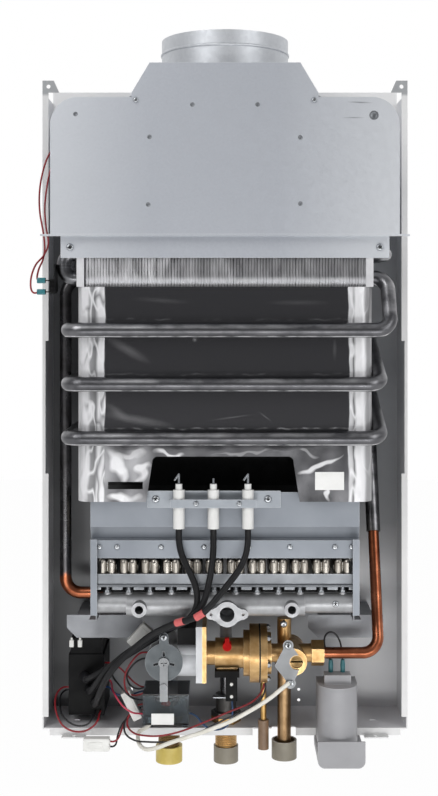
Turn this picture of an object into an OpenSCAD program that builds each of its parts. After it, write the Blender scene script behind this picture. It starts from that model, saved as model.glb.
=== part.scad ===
// Tankless gas water heater with its front cover taken off, hung on a wall.
// The origin is the middle of the back panel's rear face; the wall is the plane y = 0,
// +z is up and the open front faces -y.

/* [Case] */
// Width over the side panels
case_w = 366; // [350:1:400]
// Height of the back panel
case_h = 650; // [640:1:700]
// Depth of the side panels from the wall
tray_d = 72; // [68:1:76]
// Painted steel sheet
case_t = 1.2; // [0.8:0.1:1.6]
// Front flange of a side panel
flange_w = 6; // [4:0.5:8]
// Flange width left at its notch
flange_notch_w = 3; // [2:0.5:4]
// Height of the corner ears
ear_h = 12; // [8:1:16]
// Height of the bottom plate's front lip
lip_h = 7.5; // [5:0.5:8]
// Reach of the two cover tabs in front of the lip
tab_reach = 9; // [7:0.5:12]
// Width of a cover tab
tab_w = 24; // [16:1:30]
// Distance of a cover tab's middle from the centre line
tab_x = 151; // [146:1:155]
// Hole in a cover tab and in an ear
cover_hole_d = 4; // [3:0.5:5]
// Wall screw hole
wall_hole_d = 5; // [4:0.5:7]
// Half the distance across the wall screw holes
wall_hole_x = 100; // [92:1:118]
// Half the distance up and down the wall screw holes
wall_hole_z = 306; // [280:1:310]

/* [Hood] */
// Front face of the hood plate from the wall
hood_d = 150; // [146:1:158]
// Galvanised hood sheet
hood_t = 1.2; // [0.8:0.1:1.5]
// Half width of the hood plate
plate_half = 164.5; // [158:0.5:170]
// Height of the hood plate's wide part
plate_h = 129; // [120:1:140]
// Shoulder radius of the hood plate
plate_r = 26; // [15:1:35]
// Half width of the hood plate's neck where it leaves the shoulders
neck_half = 88; // [80:1:100]
// Height of the hood from its foot to its top
hood_h = 161.5; // [150:0.5:175]
// Half width of the hood's top
hood_top_half = 71; // [70:0.5:76]
// Half width of the hood's box
hood_half = 150; // [146:1:154]
// Height of the hood's upright sides
hood_side_h = 95; // [80:1:110]
// Half width of the shelf under the hood plate
shelf_half = 174; // [168:1:180]
// Half width of the skirt
skirt_half = 156; // [150:1:162]
// Height of the skirt
skirt_h = 22; // [18:1:26]

/* [Flue] */
// Outer diameter of the flue collar
collar_d = 126; // [110:1:134]
// Height of the flue collar over the hood
collar_h = 34; // [28:1:50]
// Shift of the flue collar forward of the hood's middle
collar_shift = 0; // [-4:0.5:4]
// Height of the bead over the hood
bead_z = 20; // [16:1:22]
// Radius of the bead
bead_r = 1.6; // [1:0.1:2.5]

/* [Heat exchanger] */
// Height of the underside of the fins over the origin
fin_z = 117; // [110:1:124]
// Height of the fin pack
fin_h = 49.5; // [46:0.5:56]
// Inset of the fin pack from the side of the shell
fin_inset = 6.5; // [3:0.5:10]
// Number of fins
fin_count = 70; // [40:1:76]
// Thickness of a fin
fin_t = 0.6; // [0.4:0.1:0.8]
// Step from the hood plate back to the front of the fins
fin_step = 12; // [11.5:0.5:14]
// Back of the exchanger from the wall
fin_back = 24; // [23:0.5:28]
// Front flange of an end plate
end_flange_w = 7; // [5:0.5:8]
// Outer diameter of the finned tubes and the coil
tube_d = 14; // [12:0.5:14]
// Wall of the water tubes
tube_wall = 1; // [0.6:0.1:1.5]
// Height of the combustion shell
shell_h = 204; // [196:1:210]
// Gap between the shell and the outside of a side panel
shell_gap = 42.5; // [42:0.5:45]
// Step of the shell forward of the fins
shell_step = 2.5; // [1.5:0.5:2.5]
// Corner radius of the shell
shell_r = 13; // [8:1:18]
// Shell sheet
shell_t = 1; // [0.6:0.1:1.2]
// Rise of the coil for each turn
coil_pitch = 51; // [46:1:52]
// Height of the lowest coil turn
coil_z = -26; // [-30:1:-22]
// Bend radius of the tubes
bend_r = 16; // [14.5:0.5:16]
// Outer diameter of the hot pipe
hot_d = 12; // [10:0.5:12]
// Outer diameter of the cold riser
cold_d = 11; // [10:0.5:12]

/* [Burner] */
// Number of burner heads
head_count = 12; // [8:1:12]
// Room at each end of the row of burner heads
head_room = 4.6; // [4.6:0.1:8]
// Width of a burner head
head_w = 17; // [14:0.5:18]
// Inset of the burner's side plates from the side of the shell
burner_inset = 12.9; // [9:0.1:14.5]
// Burner sheet
burner_t = 1.2; // [0.8:0.1:1.5]
// Diameter of the gas manifold
manifold_d = 19; // [16:0.5:20]
// Height of the manifold's axis
manifold_z = -185.5; // [-188:0.5:-184]
// Manifold axis behind the burner's front panel
manifold_step = 4.2; // [4.2:0.1:5.2]
// Bore of the flanged gas port
port_bore_d = 14; // [10:0.5:15]
// Distance between the gas port's screw holes
port_holes = 30; // [28:0.5:31]
// Distance between the ceramics
ceramic_pitch = 32.8; // [30:0.2:34]
// Diameter of a ceramic
ceramic_d = 11; // [9:0.5:12]

/* [Connections] */
// Outer diameter of the pipe threads
thread_d = 20.95; // [18:0.05:22]
// Water and gas way through a thread
way_d = 9.5; // [8:0.5:9.5]
// Outer diameter of a water cap
cap_d = 25; // [24.5:0.5:27]
// Height of a water cap
cap_h = 16; // [12:0.5:20]
// Outer diameter of the gas cap
gas_cap_d = 27; // [26:0.5:29]
// Length of the threads under the bottom plate
thread_l = 38; // [30:1:42]
// Hot and gas connections from the wall
stub_y = 50; // [46:1:52]
// Hot connection from the centre line
hot_x = 1; // [-4:1:6]
// Gas connection left of the centre line
gas_x = 57; // [52:1:60]
// Cold connection right of the centre line
cold_x = 59; // [57:1:61]
// Cold connection from the wall
cold_y = 78; // [76:0.5:80]
// Diameter of the cold inlet pipe
inlet_d = 13.5; // [12:0.5:16]

/* [Water and gas valves] */
// Height of the valve axis
valve_z = -241; // [-243:1:-240]
// Valve axis from the wall
valve_y = 100; // [98:1:102]
// Radius of the diaphragm housing
diaphragm_r = 28; // [26:0.5:29]
// Radius of the valve's brass body
valve_r = 14.5; // [13:0.5:15]
// Travel of the diaphragm rod
rod_travel = 4; // [2:0.5:4]
// Radius of the gas valve's round plate
gas_plate_r = 18.3; // [16:0.1:20]
// Reach of the gas lever under its pivot
lever_l = 37; // [32:1:40]
// Running clearance of shafts
run_gap = 0.05; // [0.02:0.01:0.08]
// Gap between pieces that move past each other
slip_gap = 0.3; // [0.3:0.05:0.5]

/* [Electrics] */
// Middle of the battery case right of the centre line
battery_x = 110.5; // [108:0.5:113]
// Radius of the battery case's round front
battery_r = 19.5; // [19.2:0.1:20.5]
// Wall of the battery case
battery_wall = 2; // [1.2:0.1:2.2]
// Diameter of the battery cell
cell_d = 33.2; // [30:0.1:33.6]
// Length of the battery cell
cell_l = 61; // [56:0.5:61]
// Width of the battery lid
lid_w = 46; // [44:0.5:50]
// Radius of the battery lid's hinge pin
pin_r = 1.5; // [1:0.1:1.6]
// Width of the igniter module
igniter_w = 36; // [32:1:38]
// Height of the igniter module
igniter_h = 77; // [70:1:80]
// Width of the control box
box_w = 45; // [40:1:46]
// Height of the control box
box_h = 30; // [26:1:31]
// Wall of the control box
box_wall = 1.5; // [1:0.1:2]
// Diameter of a high-voltage lead
lead_d = 6.2; // [5:0.1:6.4]
// Diameter of a harness wire
wire_d = 1.8; // [1.2:0.1:2]
// Diameter of the white sleeve
sleeve_d = 4; // [3:0.1:4.2]

/* [Hidden] */
$fn = 48;

// Colours
paint = "gainsboro";
galvanised = "silver";
tinned = "lightslategray";
copper = "peru";
brass = "goldenrod";
bright = "lightgray";
black = "#202022";
grey_plastic = "darkgray";

// Case datums
eps = 0.01;
half_w = case_w / 2;
in_x = half_w - case_t;
top_z = case_h / 2;
bottom_z = -case_h / 2;
floor_z = bottom_z + case_t;
notch_top = 64;
notch_bottom = -69;
flange_end = floor_z + 11;
slot_hole_w = 6;
slot_hole_l = 3;
slot_hole_y = 47;
lip_gap = 12;

// Widths and depths that follow the case and the hood
shell_half = half_w - shell_gap;
fin_half = shell_half - fin_inset;
burner_half = shell_half - burner_inset;
head_pitch = 2 * (burner_half - head_room) / head_count;
collar_y = hood_d / 2 + collar_shift;
fin_front = hood_d - fin_step;
shell_front = fin_front + shell_step;
panel_front = shell_front - 8.3;
manifold_y = panel_front - manifold_step;

// Hood datums
hood_foot = fin_z + fin_h;
hood_top = hood_foot + hood_h;
plate_back = hood_d - hood_t;
hood_lip_half = fin_half + burner_t;
skirt_y = fin_front + 1;
shelf_t = 1.5;
shelf_lip_h = 1.9;
baffle_z = hood_foot + 36;
baffle_rise = 30;
baffle_t = 1;
baffle_reach = 42;
collar_wall = 1;
collar_foot_w = 5;

// Exchanger datums
tube_r = tube_d / 2;
tube_hole_r = tube_r + run_gap;
row_low = fin_z + 9;
row_high = row_low + 23;
col_front = fin_front - 20;
col_back = stub_y;
col_mid = (col_front + col_back) / 2;
u_r = (row_high - row_low) / 2 - 1.5;
end_x = fin_half + burner_t;
u_x = end_x + end_flange_w + 13;
joint_x = end_x + end_flange_w;
shell_z = fin_z - shell_h;
window_top = shell_z + 43;
window_half_top = 67;
window_half_bottom = 73;
window_x = -2;
window_r = 5;
slot_x = -111;
slot_w = 33;
slot_h = 7;
slot_z = shell_z + 12;
coil_front = shell_front + tube_r + 0.5;
coil_back = 15;
coil_left = shell_half + tube_r + 1.5;
coil_right = shell_half + tube_r;
coil_top_right = coil_right + 9;
riser_x = coil_right + 3.1;
riser_join_y = 56;
hot_pipe_x = coil_left + tube_r + hot_d / 2 + 0.5;
hot_low_z = -193;

// Burner datums
panel_top = shell_z + 8;
panel_knee = shell_z - 25;
panel_low = panel_knee - 12;
panel_foot = panel_low - 18;
panel_in = 6;
panel_half = burner_half + 0.9;
head_front = panel_front + 1.8;
head_back = 40;
head_low = -168;
lobe_low = -158;
lobe_top = panel_foot - 0.4;
lobe_r = 4.1;
lobe_x = lobe_r + 0.2;
venturi_top = -150;
port_top = shell_z - 22;
side_front = panel_front + 7.8;
side_back = 62;
side_low = manifold_z - manifold_d / 2;
side_flange_w = 6.2;
side_flange_top = panel_foot + 19;
rail_low = head_low - 3.5;
rail_top = lobe_low + 1.5;
rail_slot_w = 11;
rail_slot_h = 2.5;
rail_roll_r = 1.6;
manifold_wall = 2;
seat_z = manifold_z + manifold_d / 2 + 0.8;
injector_d = 5;
casting_left = -94;
casting_right = 76;
casting_wall = 1;
casting_drop = 1.5;
boss_left = -81;
boss_right = 63;
boss_d = 14;
boss_bore = 8;
boss_front = manifold_y + 22;
boss_z = manifold_z - 2;
port_x = 2;
port_z = manifold_z - 5;
port_front = manifold_y + 27;
port_t = 6;
port_h = 23.5;
port_w = 39.5;
port_hole_d = 3;
bracket_y = 60;
bracket_h = 23;
bracket_z = -236.5;
bracket_out = 160;
bracket_in = 84;
bracket_clip = 10;
bracket_tab_y = 80;

// Electrode datums
ceramic_x = -11;
ceramic_low = -112.4;
ceramic_neck = -75.6;
ceramic_top = -70;
ceramic_tip_d = 6.6;
rod_top = -61;
rod_d = 2.2;
electrode_t = 1.2;
electrode_back = panel_front;
electrode_front = panel_front + electrode_t;
electrode_low = -93.5;
electrode_high = -77.5;
electrode_left = -74;
electrode_right = 53;
ceramic_y = electrode_front + slip_gap + ceramic_d / 2;
clamp_back = ceramic_y + ceramic_d / 2 + slip_gap;
clamp_t = 1.4;
clamp_z = -88;
clamp_h = 8;
clamp_half = 40.5;
clamp_post_r = 2;

// Gas valve datums
gas_plate_x = -59;
gas_plate_z = valve_z - 4;
gas_body_r = 17;
gas_body_front = 118;
gas_body_back = 85;
gas_arm_r = 12;
gas_stub_r = 9;
gas_stub_low = -300;
gas_way_r = 6;
gas_plate_t = 2;
flange_left = -28;
flange_joint = -22;
flange_back = 76;
flange_front = 124;
flange_low = valve_z - 23;
flange_high = valve_z + 31;
barrel_r = 10;
gas_neck_r = 13.6;
gas_neck_drop = 8.6;
pivot_r = 4;
pivot_back = 108;
lever_w = 7.5;
lever_t = 2.4;
lever_hub_r = 4.9;
cross_l = 6;
cross_w = 1.4;
plate_slots = [90, 194, -14];
plate_slot_w = 2.2;
plate_slot_in = 5.8;
plate_slot_out = 10.4;
recess_r = 11.5;
recess_d = 4;
solenoid_left = -46;
solenoid_low = valve_z + 12;
solenoid_high = solenoid_low + 16;
solenoid_back = 84;
solenoid_front = 116;
plunger_r = 5;
plunger_z = (solenoid_low + solenoid_high) / 2;
plunger_l = 9;
plunger_room = 14;

// Water valve datums
brass_flange_r = -18;
neck_right = -9.6;
neck_r = 11.5;
body_right = 18;
step_r = 22;
step_right = 24;
housing_right = 33;
diaphragm_t = 1.5;
chamber_r = 23;
disc_r = 18;
disc_t = 2.7;
chamber_left = housing_right - slip_gap - disc_t - rod_travel - 1;
rod_r = 4;
rod_left = -15;
cover_right = housing_right + diaphragm_t + 6.5;
cover_dome_r = 20;
cover_dome = 4;
switch_pad_z = valve_z - 15;
bleed_x = 2;
bleed_z = valve_z + 12;
bleed_r = 4.2;
nipple_r = 3.4;
nipple_front = 116;
bleed_l = 8;
drain_x = 38.2;
drain_y = 82;
drain_boss_r = 3.4;
drain_top = valve_z - 31;
drain_rod_d = 6;
drain_rod_l = 40;
drain_cap_d = 10.6;
drain_cap_l = 29;
drain_tip_r = 2;
drain_tip_l = 8;
switch_left = -10;
switch_right = 14;
switch_back = 90;
switch_front = 112;
bracket_drop = 6;
block_left = 0.6;
block_right = 12;
block_low = switch_pad_z - 29;
tongue_l = 12;
tongue_t = 0.8;
tongue_back = 99;
tongue_front = 107;
tongue_z = block_low + 2;
casting_x = 66;
casting_r = 13;
casting_face = 122.8;
casting_rear = 68;
column_top = valve_z + 29;
column_r = 7;
column_foot = valve_z - 18;
column_foot_r = 9;
neck_out_r = 9;
nut_left = 84.5;
nut_l = 12;
nut_across = 25.4;
spindle_x = 69;
spindle_z = valve_z - 3;
spindle_r = 6;
spindle_back = 100;
spindle_front = 121;
spindle_slot_w = 2;
spindle_slot_d = 5;
rhomb_t = 1.6;
rhomb_hole_r = spindle_r + 1;

// Connection datums
stub_top = floor_z + 28;
thread_low = floor_z - thread_l;
hex_h = 11;
hex_across = 30;
cap_gap = slip_gap;
cap_floor = 2;
cold_end = floor_z - 25;
cold_thread_l = 12;
cold_cap_l = 18;
gas_hex_across = 27;

// Electrics datums
battery_top = -272;
case_foot = floor_z - lip_h - 0.3;
case_flange_t = 1.5;
round_y = 96;
lid_x = battery_x + 2;
lid_front = 121;
lid_top = case_foot - case_flange_t - slip_gap;
lid_low = case_foot - 15.5;
lid_r = 7;
lid_rim = case_foot + 10;
lid_rim_t = 2.4;
hinge_y = 64;
hinge_z = lid_top - 3.4;
knuckle_r = 2.9;
ear_w = 4;
ear_inner = lid_w / 2 - ear_w - 0.5;
tongue_gap = 0.4;
terminal_h = 9;
terminal_w = 26;
igniter_x = -140;
igniter_top = -237;
igniter_front = 62;
igniter_step = 16;
box_x = -57.5;
box_top = -278;
box_front = 112;
box_back = 66;
box_foot_w = 5;
board_y = 88;
board_t = 1.6;
thermostat_r = 7;
thermostat_t = 6;
thermostat_z = row_low - 8;

// Cord routes, chosen by hand from the photograph
lead_left = [[-43.8, -139.2, -112.7], [-43.8, -139.2, -122], [-42.3, -141.5, -132], [-38.5, -144, -142.5],
    [-32.8, -147, -153.5], [-28, -149, -164.5], [-26, -149.5, -176], [-28, -148.5, -187],
    [-34, -143.5, -197], [-41, -131.5, -204.5], [-47.5, -119.5, -210], [-54, -113, -214.5],
    [-61, -110.5, -219.5], [-71, -107.5, -226.5], [-85, -104, -236], [-101, -99.5, -247],
    [-116, -95, -257.5], [-129, -89, -266.5], [-137, -81.5, -272], [-141, -72.5, -274.6],
    [-142, -62.4, -275]];
lead_mid = [[-11, -139.2, -112.7], [-11, -139.2, -122], [-11.2, -143, -134], [-12.6, -149, -148],
    [-15.2, -154, -161.5], [-18.6, -157, -174.5], [-23.8, -157.5, -185], [-31.5, -154.5, -193.5],
    [-40.5, -147, -200.5], [-49.5, -137, -206], [-59, -127.5, -211.5], [-70, -119, -219.5],
    [-84.5, -113, -230.5], [-101, -109, -243], [-115.5, -103.5, -257], [-126, -95.5, -272],
    [-133, -85.5, -282.5], [-136.4, -74, -287.4], [-137, -62.4, -288]];
lead_right = [[21.8, -139.2, -112.7], [21.8, -139.2, -122], [20.8, -143, -131.5], [17.4, -148.5, -141.5],
    [11.6, -153.5, -151], [3.2, -158.5, -161], [-6.2, -163.5, -171.5], [-15, -166.5, -181],
    [-23.5, -165.5, -188.5], [-33, -161.5, -193.5], [-44, -154.5, -198], [-56, -144.5, -205],
    [-70, -133, -215], [-86, -124.5, -229], [-102, -118, -245], [-114, -110.5, -261.5],
    [-122.3, -100.5, -279], [-128, -88, -293], [-130.5, -75, -299.6], [-131, -62.4, -301]];
LEADS = [lead_left, lead_mid, lead_right];
thermostat_feed = [[-174, -60, 256], [-174, -76, 253], [-178, -84, 242], [-182, -88, 224],
    [-183.5, -90, 207], [-182.5, -92, 190], [-179, -95, 172], [-177, -98, 156], [-178, -104, 144],
    [-181, -110, 135], [-182, -115, 126], [-179, -118, 123.5], [-174, -118, 123.5]];
thermostat_return = [[-171, -60, 247], [-171, -75, 244], [-174, -82, 233], [-177, -85, 215],
    [-178.5, -87, 196], [-177, -90, 178], [-174, -94, 161], [-177, -102, 149], [-184, -110, 139],
    [-187.5, -116, 127], [-187.5, -118, 116], [-184.5, -118.5, 111.5], [-179, -118, 112.5],
    [-174, -118, 112.5]];
floor_pair_red = [[-158.4, -48, -290], [-165, -49, -290], [-170, -55, -293], [-171.5, -64, -300],
    [-168, -75, -310], [-161, -83, -318], [-151, -87, -322], [-140, -88, -322], [-131, -86, -318],
    [-126.5, -80, -313], [-126, -71, -310], [-126, -62.4, -309.5]];
floor_pair_black = [[-158.4, -42, -294], [-164, -43, -295], [-167.5, -49, -298], [-167.5, -59, -303.5],
    [-164, -71, -310], [-156, -79, -315.5], [-147, -83, -318], [-138, -84, -317], [-133, -81, -313.5],
    [-131, -72, -310.5], [-131, -62.4, -310]];
loop_red = [[-80.3, -84, -296], [-88, -85, -298], [-95, -88, -306], [-96, -95, -314], [-89, -105, -318],
    [-77, -113, -318], [-64, -118, -316.5], [-50, -120, -313.5], [-36, -119, -309.5], [-22, -117, -304.5],
    [-8, -116, -299], [4, -115.5, -294], [16, -115, -289.5], [26, -114, -285], [33, -111, -279.5],
    [37, -108, -274], [38, -106.5, -269]];
loop_black = [[-80.3, -80, -300], [-90, -82, -303], [-99, -87, -312], [-98, -97, -321], [-88, -107, -324.5],
    [-75, -113, -324], [-62, -118, -322.5], [-48, -121, -321], [-34, -120, -317], [-21, -119, -311],
    [-8, -119, -304], [5, -119, -298], [18, -119, -292.5], [29, -119, -286], [36, -117.5, -279],
    [39, -115, -272], [39, -112.5, -267]];
loop_blue = [[-34.6, -100, -300], [-28, -101, -303], [-20, -104, -311], [-10, -106, -314.5],
    [0, -105, -312.5], [6, -102, -306], [7.5, -100, -298], [7, -99.5, -291], [7, -99.5, -285.4]];
rise_red = [[-80.3, -88, -284], [-88, -89, -286], [-96, -92, -283], [-99, -95, -272], [-97, -97, -260],
    [-91, -96, -250], [-84, -93, -243.5], [-76.6, -91, -243]];
rise_dark = [[-80.3, -84, -280], [-87, -84, -281], [-94, -86, -277], [-97, -90, -268], [-94, -93, -259],
    [-88, -93, -252.5], [-82, -91, -249.5], [-76.4, -90, -249]];
plug_red = [[-80.3, -76, -304], [-90, -77, -306], [-98, -80, -312], [-102, -86, -320], [-105, -92, -327],
    [-109, -95, -329.5], [-113.2, -95, -329.5]];
plug_black = [[-80.3, -73, -308], [-91, -74, -309.5], [-101, -77.5, -316], [-106, -84, -325.5],
    [-107.5, -91, -333], [-110, -95, -334.5], [-113.2, -95, -334.5]];
battery_loop = [[104.6, -88.5, -262.6], [104.6, -88, -254], [101.5, -87, -245], [98.6, -86, -236],
    [99.2, -85, -229], [103.5, -84, -225], [109.5, -84, -226.5], [114, -85, -234], [116, -87, -245],
    [116.4, -88, -254], [116.4, -88.5, -262.6]];
link_red = [[-80.5, -78, -281], [-85, -78, -280], [-91.5, -78.3, -275.5], [-98, -79, -268.5],
    [-104, -77.5, -263], [-109.5, -71, -261.8], [-113, -63, -262.2], [-116.8, -57, -262.8],
    [-121.5, -54.8, -263]];
link_black = [[-80.5, -92, -290], [-85, -93, -289.3], [-91.5, -97, -286], [-98.5, -100, -279],
    [-105, -96.5, -272.5], [-110, -87, -270], [-112.5, -75, -270], [-114.3, -66.5, -270.4],
    [-117.3, -60.6, -270.8], [-121.5, -58.6, -271]];
link_pink = [[-80.5, -96, -302], [-85, -97, -301.5], [-91.5, -101, -299], [-100, -103.5, -292],
    [-107, -98.5, -284.5], [-111.3, -88, -280.5], [-113, -76.5, -279.3], [-114.6, -67, -279],
    [-117.4, -60.8, -279], [-121.5, -58.6, -279]];
link_blue = [[-80.5, -68, -288], [-85, -68.5, -288.5], [-91.5, -70.8, -289.8], [-100, -74.5, -290.8],
    [-107.5, -74, -289.8], [-112.5, -69, -288.4], [-115.3, -62.5, -287.4], [-118, -58.2, -287],
    [-121.5, -56.6, -287]];
WIRES = [thermostat_feed, thermostat_return, floor_pair_red, floor_pair_black, loop_red, loop_black,
    loop_blue, rise_red, rise_dark, plug_red, plug_black, battery_loop, link_red, link_black, link_pink,
    link_blue];
sleeve_route = [[61.5, -129, -262], [53, -131, -268], [44, -132, -275], [32, -132, -283], [20, -132, -290],
    [7, -132, -297], [-7, -131.5, -303], [-22, -130.5, -309], [-38, -129, -314.5], [-53, -127.5, -320],
    [-66, -124, -326], [-77, -116, -330], [-84, -105, -328], [-85, -95, -321], [-77, -90, -317],
    [-74, -89, -313], [-74, -89, -308.3]];
plug_size = [26, 10, 13];
plug_corner = [-139.4, -100, -338.5];

// A box between two corners given axis by axis
module slab(x, y, z) {
    translate([x[0], y[0], z[0]])
        cube([x[1] - x[0], y[1] - y[0], z[1] - z[0]]);
}

// Round bars along each axis, from a start point
module rod_x(p, r, l) {
    translate(p)
        rotate([0, 90, 0])
            cylinder(r = r, h = l);
}

module rod_y(p, r, l) {
    translate(p)
        rotate([-90, 0, 0])
            cylinder(r = r, h = l);
}

module rod_z(p, r, l) {
    translate(p)
        cylinder(r = r, h = l);
}

// A flat sheet drawn in x and z, from its front face y back by t
module sheet_xz(y, t) {
    translate([0, y + t, 0])
        rotate([90, 0, 0])
            linear_extrude(t)
                children();
}

// A profile drawn in y and z, run along x
module run_x(x0, x1) {
    translate([x0, 0, 0])
        rotate([90, 0, 90])
            linear_extrude(x1 - x0)
                children();
}

// Both sides of the centre line
module both() {
    children();
    mirror([1, 0, 0])
        children();
}

// A rectangle with round corners about the origin
module round_rect(w, h, r) {
    square([w - 2 * r, h], center = true);
    square([w, h - 2 * r], center = true);
    for (x = [-1, 1], y = [-1, 1])
        translate([x * (w / 2 - r), y * (h / 2 - r)])
            circle(r);
}

function unit(v) = v / norm(v);
function turn(a, b) = acos(max(-1, min(1, a * b)));

module along(d) {
    rotate([0, acos(d[2]), atan2(d[1], d[0])])
        children();
}

// A bent bar through corner points: straight bars lap a little into slightly fuller elbows
elbow_swell = 0.12;
elbow_lap = 1;
module bent_bar(p, d, r) {
    n = len(p);
    dirs = [for (i = [0:n - 2]) unit(p[i + 1] - p[i])];
    cut = [for (i = [0:n - 1])
        i == 0 || i == n - 1 ? 0 : r * tan(turn(dirs[i - 1], dirs[i]) / 2) - elbow_lap];
    for (i = [0:n - 2])
        translate(p[i] + dirs[i] * cut[i])
            along(dirs[i])
                cylinder(d = d, h = norm(p[i + 1] - p[i]) - cut[i] - cut[i + 1]);
    for (i = [1:n - 2]) {
        a = dirs[i - 1];
        b = dirs[i];
        z = unit(cross(a, b));
        x = cross(a, z);
        c = p[i] - a * (cut[i] + elbow_lap) - x * r;
        multmatrix([[x[0], a[0], z[0], c[0]], [x[1], a[1], z[1], c[1]],
            [x[2], a[2], z[2], c[2]], [0, 0, 0, 1]])
            rotate_extrude(angle = turn(a, b))
                translate([r, 0])
                    circle(d = d + 2 * elbow_swell);
    }
}

// A bent tube: the bar less its bore, open at both ends
module pipe_run(p, d, bore, r) {
    n = len(p);
    before = p[0] - unit(p[1] - p[0]);
    after = p[n - 1] + unit(p[n - 1] - p[n - 2]);
    middle = [for (i = [1:n - 2]) p[i]];
    difference() {
        bent_bar(p, d, r);
        bent_bar(concat([before], middle, [after]), bore, r);
    }
}

// A smooth line through hand-picked points
function blend_point(a, b, c, d, t) =
    0.5 * (2 * b + (c - a) * t + (2 * a - 5 * b + 4 * c - d) * t * t
        + (3 * b - a - 3 * c + d) * t * t * t);
function smooth_line(p, steps) = concat(
    [for (i = [0:len(p) - 2], k = [0:steps - 1])
        blend_point(p[max(i - 1, 0)], p[i], p[i + 1], p[min(i + 2, len(p) - 1)], k / steps)],
    [p[len(p) - 1]]);

// A soft cord swept along a line with eight-sided rings
cord_sides = 8;
cord_side_ref = [0.2, 1, 0.1];
module cord(line, d) {
    n = len(line);
    s = cord_sides;
    rings = [for (i = [0:n - 1])
        let (t = unit(line[min(i + 1, n - 1)] - line[max(i - 1, 0)]))
        let (u = unit(cross(t, cord_side_ref)))
        let (v = cross(t, u))
        for (k = [0:s - 1]) line[i] + d / 2 * (cos(360 * k / s) * u + sin(360 * k / s) * v)];
    walls = [for (i = [0:n - 2], k = [0:s - 1])
        let (a = i * s + k)
        let (b = i * s + (k + 1) % s)
        each [[a, a + s, b], [b, a + s, b + s]]];
    first = [for (k = [1:s - 2]) [0, k, k + 1]];
    last = [for (k = [1:s - 2]) [(n - 1) * s, (n - 1) * s + k + 1, (n - 1) * s + k]];
    polyhedron(points = rings, faces = concat(walls, first, last), convexity = 6);
}

// Case

clip_hole_x = 78;
clip_hole_z = [-306.5, -317.6];
clip_hole_r = 1.6;
module back_panel() {
    color(paint)
        difference() {
            slab([-in_x, in_x], [-case_t, 0], [bottom_z, top_z]);
            for (x = [-wall_hole_x, wall_hole_x], z = [-wall_hole_z, wall_hole_z])
                rod_y([x, -2 * case_t, z], wall_hole_d / 2, 3 * case_t);
            for (z = clip_hole_z)
                rod_y([clip_hole_x, -2 * case_t, z], clip_hole_r, 3 * case_t);
        }
}

module side_panel() {
    flange_back = -tray_d + case_t;
    difference() {
        union() {
            slab([in_x, half_w], [-tray_d, 0], [bottom_z, top_z - ear_h]);
            slab([half_w - flange_w, half_w], [-tray_d, flange_back], [flange_end, top_z - ear_h]);
            sheet_xz(-tray_d, case_t)
                polygon([[half_w - flange_w, top_z - ear_h], [half_w - 2.8 * flange_w, top_z - ear_h],
                    [half_w - 1.9 * flange_w, top_z], [half_w, top_z], [half_w, top_z - ear_h]]);
        }
        slab([half_w - 2 * flange_w, half_w - flange_notch_w], [-tray_d - 1, flange_back],
            [notch_bottom, notch_top]);
        rod_y([half_w - flange_w, -tray_d - 1, top_z - ear_h / 2], cover_hole_d / 2, case_t + 2);
    }
}

module left_side_panel() {
    color(paint)
        mirror([1, 0, 0])
            side_panel();
}

module right_side_panel() {
    color(paint)
        side_panel();
}

module bottom_plate() {
    cold_way = inlet_d / 2 + 5;
    color(paint)
        difference() {
            union() {
                slab([-in_x, in_x], [-tray_d, -case_t], [bottom_z, floor_z]);
                slab([-in_x + 6, in_x - 6], [-tray_d, -tray_d + case_t], [floor_z - lip_h, floor_z]);
                both()
                    slab([tab_x - tab_w / 2, tab_x + tab_w / 2], [-tray_d - tab_reach, -tray_d + case_t],
                        [floor_z - lip_h, floor_z - lip_h + case_t]);
            }
            both()
                rod_z([tab_x, -tray_d - tab_reach / 2, floor_z - lip_h - 1], cover_hole_d / 2, case_t + 2);
            both()
                slab([tab_x - slot_hole_w / 2, tab_x + slot_hole_w / 2],
                    [-slot_hole_y - slot_hole_l / 2, -slot_hole_y + slot_hole_l / 2],
                    [bottom_z - 1, floor_z + 1]);
            rod_z([hot_x, -stub_y, bottom_z - 1], thread_d / 2 + slip_gap, case_t + 2);
            rod_z([-gas_x, -stub_y, bottom_z - 1], thread_d / 2 + slip_gap, case_t + 2);
            slab([cold_x - lip_gap, cold_x + lip_gap], [-tray_d - 1, -cold_y + cold_way],
                [floor_z - lip_h - 1, floor_z + 1]);
            slab([drain_x - drain_cap_d, drain_x + drain_cap_d], [-tray_d - 1, -drain_y + drain_cap_d + 1],
                [floor_z - lip_h - 1, floor_z + 1]);
        }
}

// Draught hood

function hood_outline(inset) = [
    [-hood_half + inset, hood_foot], [-hood_half + inset, hood_foot + hood_side_h],
    [-neck_half + inset, hood_foot + plate_h + 2], [-hood_top_half + inset, hood_top - inset],
    [hood_top_half - inset, hood_top - inset], [neck_half - inset, hood_foot + plate_h + 2],
    [hood_half - inset, hood_foot + hood_side_h], [hood_half - inset, hood_foot]];

module flue_hood() {
    body_d = plate_back - case_t;
    color(galvanised)
        difference() {
            union() {
                difference() {
                    sheet_xz(-plate_back, body_d)
                        polygon(hood_outline(0));
                    translate([0, 0, -eps])
                        sheet_xz(-plate_back - 1, body_d - hood_t + 1)
                            polygon(hood_outline(hood_t));
                }
                both()
                    slab([hood_lip_half - hood_t, hood_half], [-plate_back, -case_t],
                        [hood_foot, hood_foot + hood_t]);
            }
            rod_z([0, -collar_y, hood_top - 5], collar_d / 2 - collar_wall, 10);
        }
}

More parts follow.
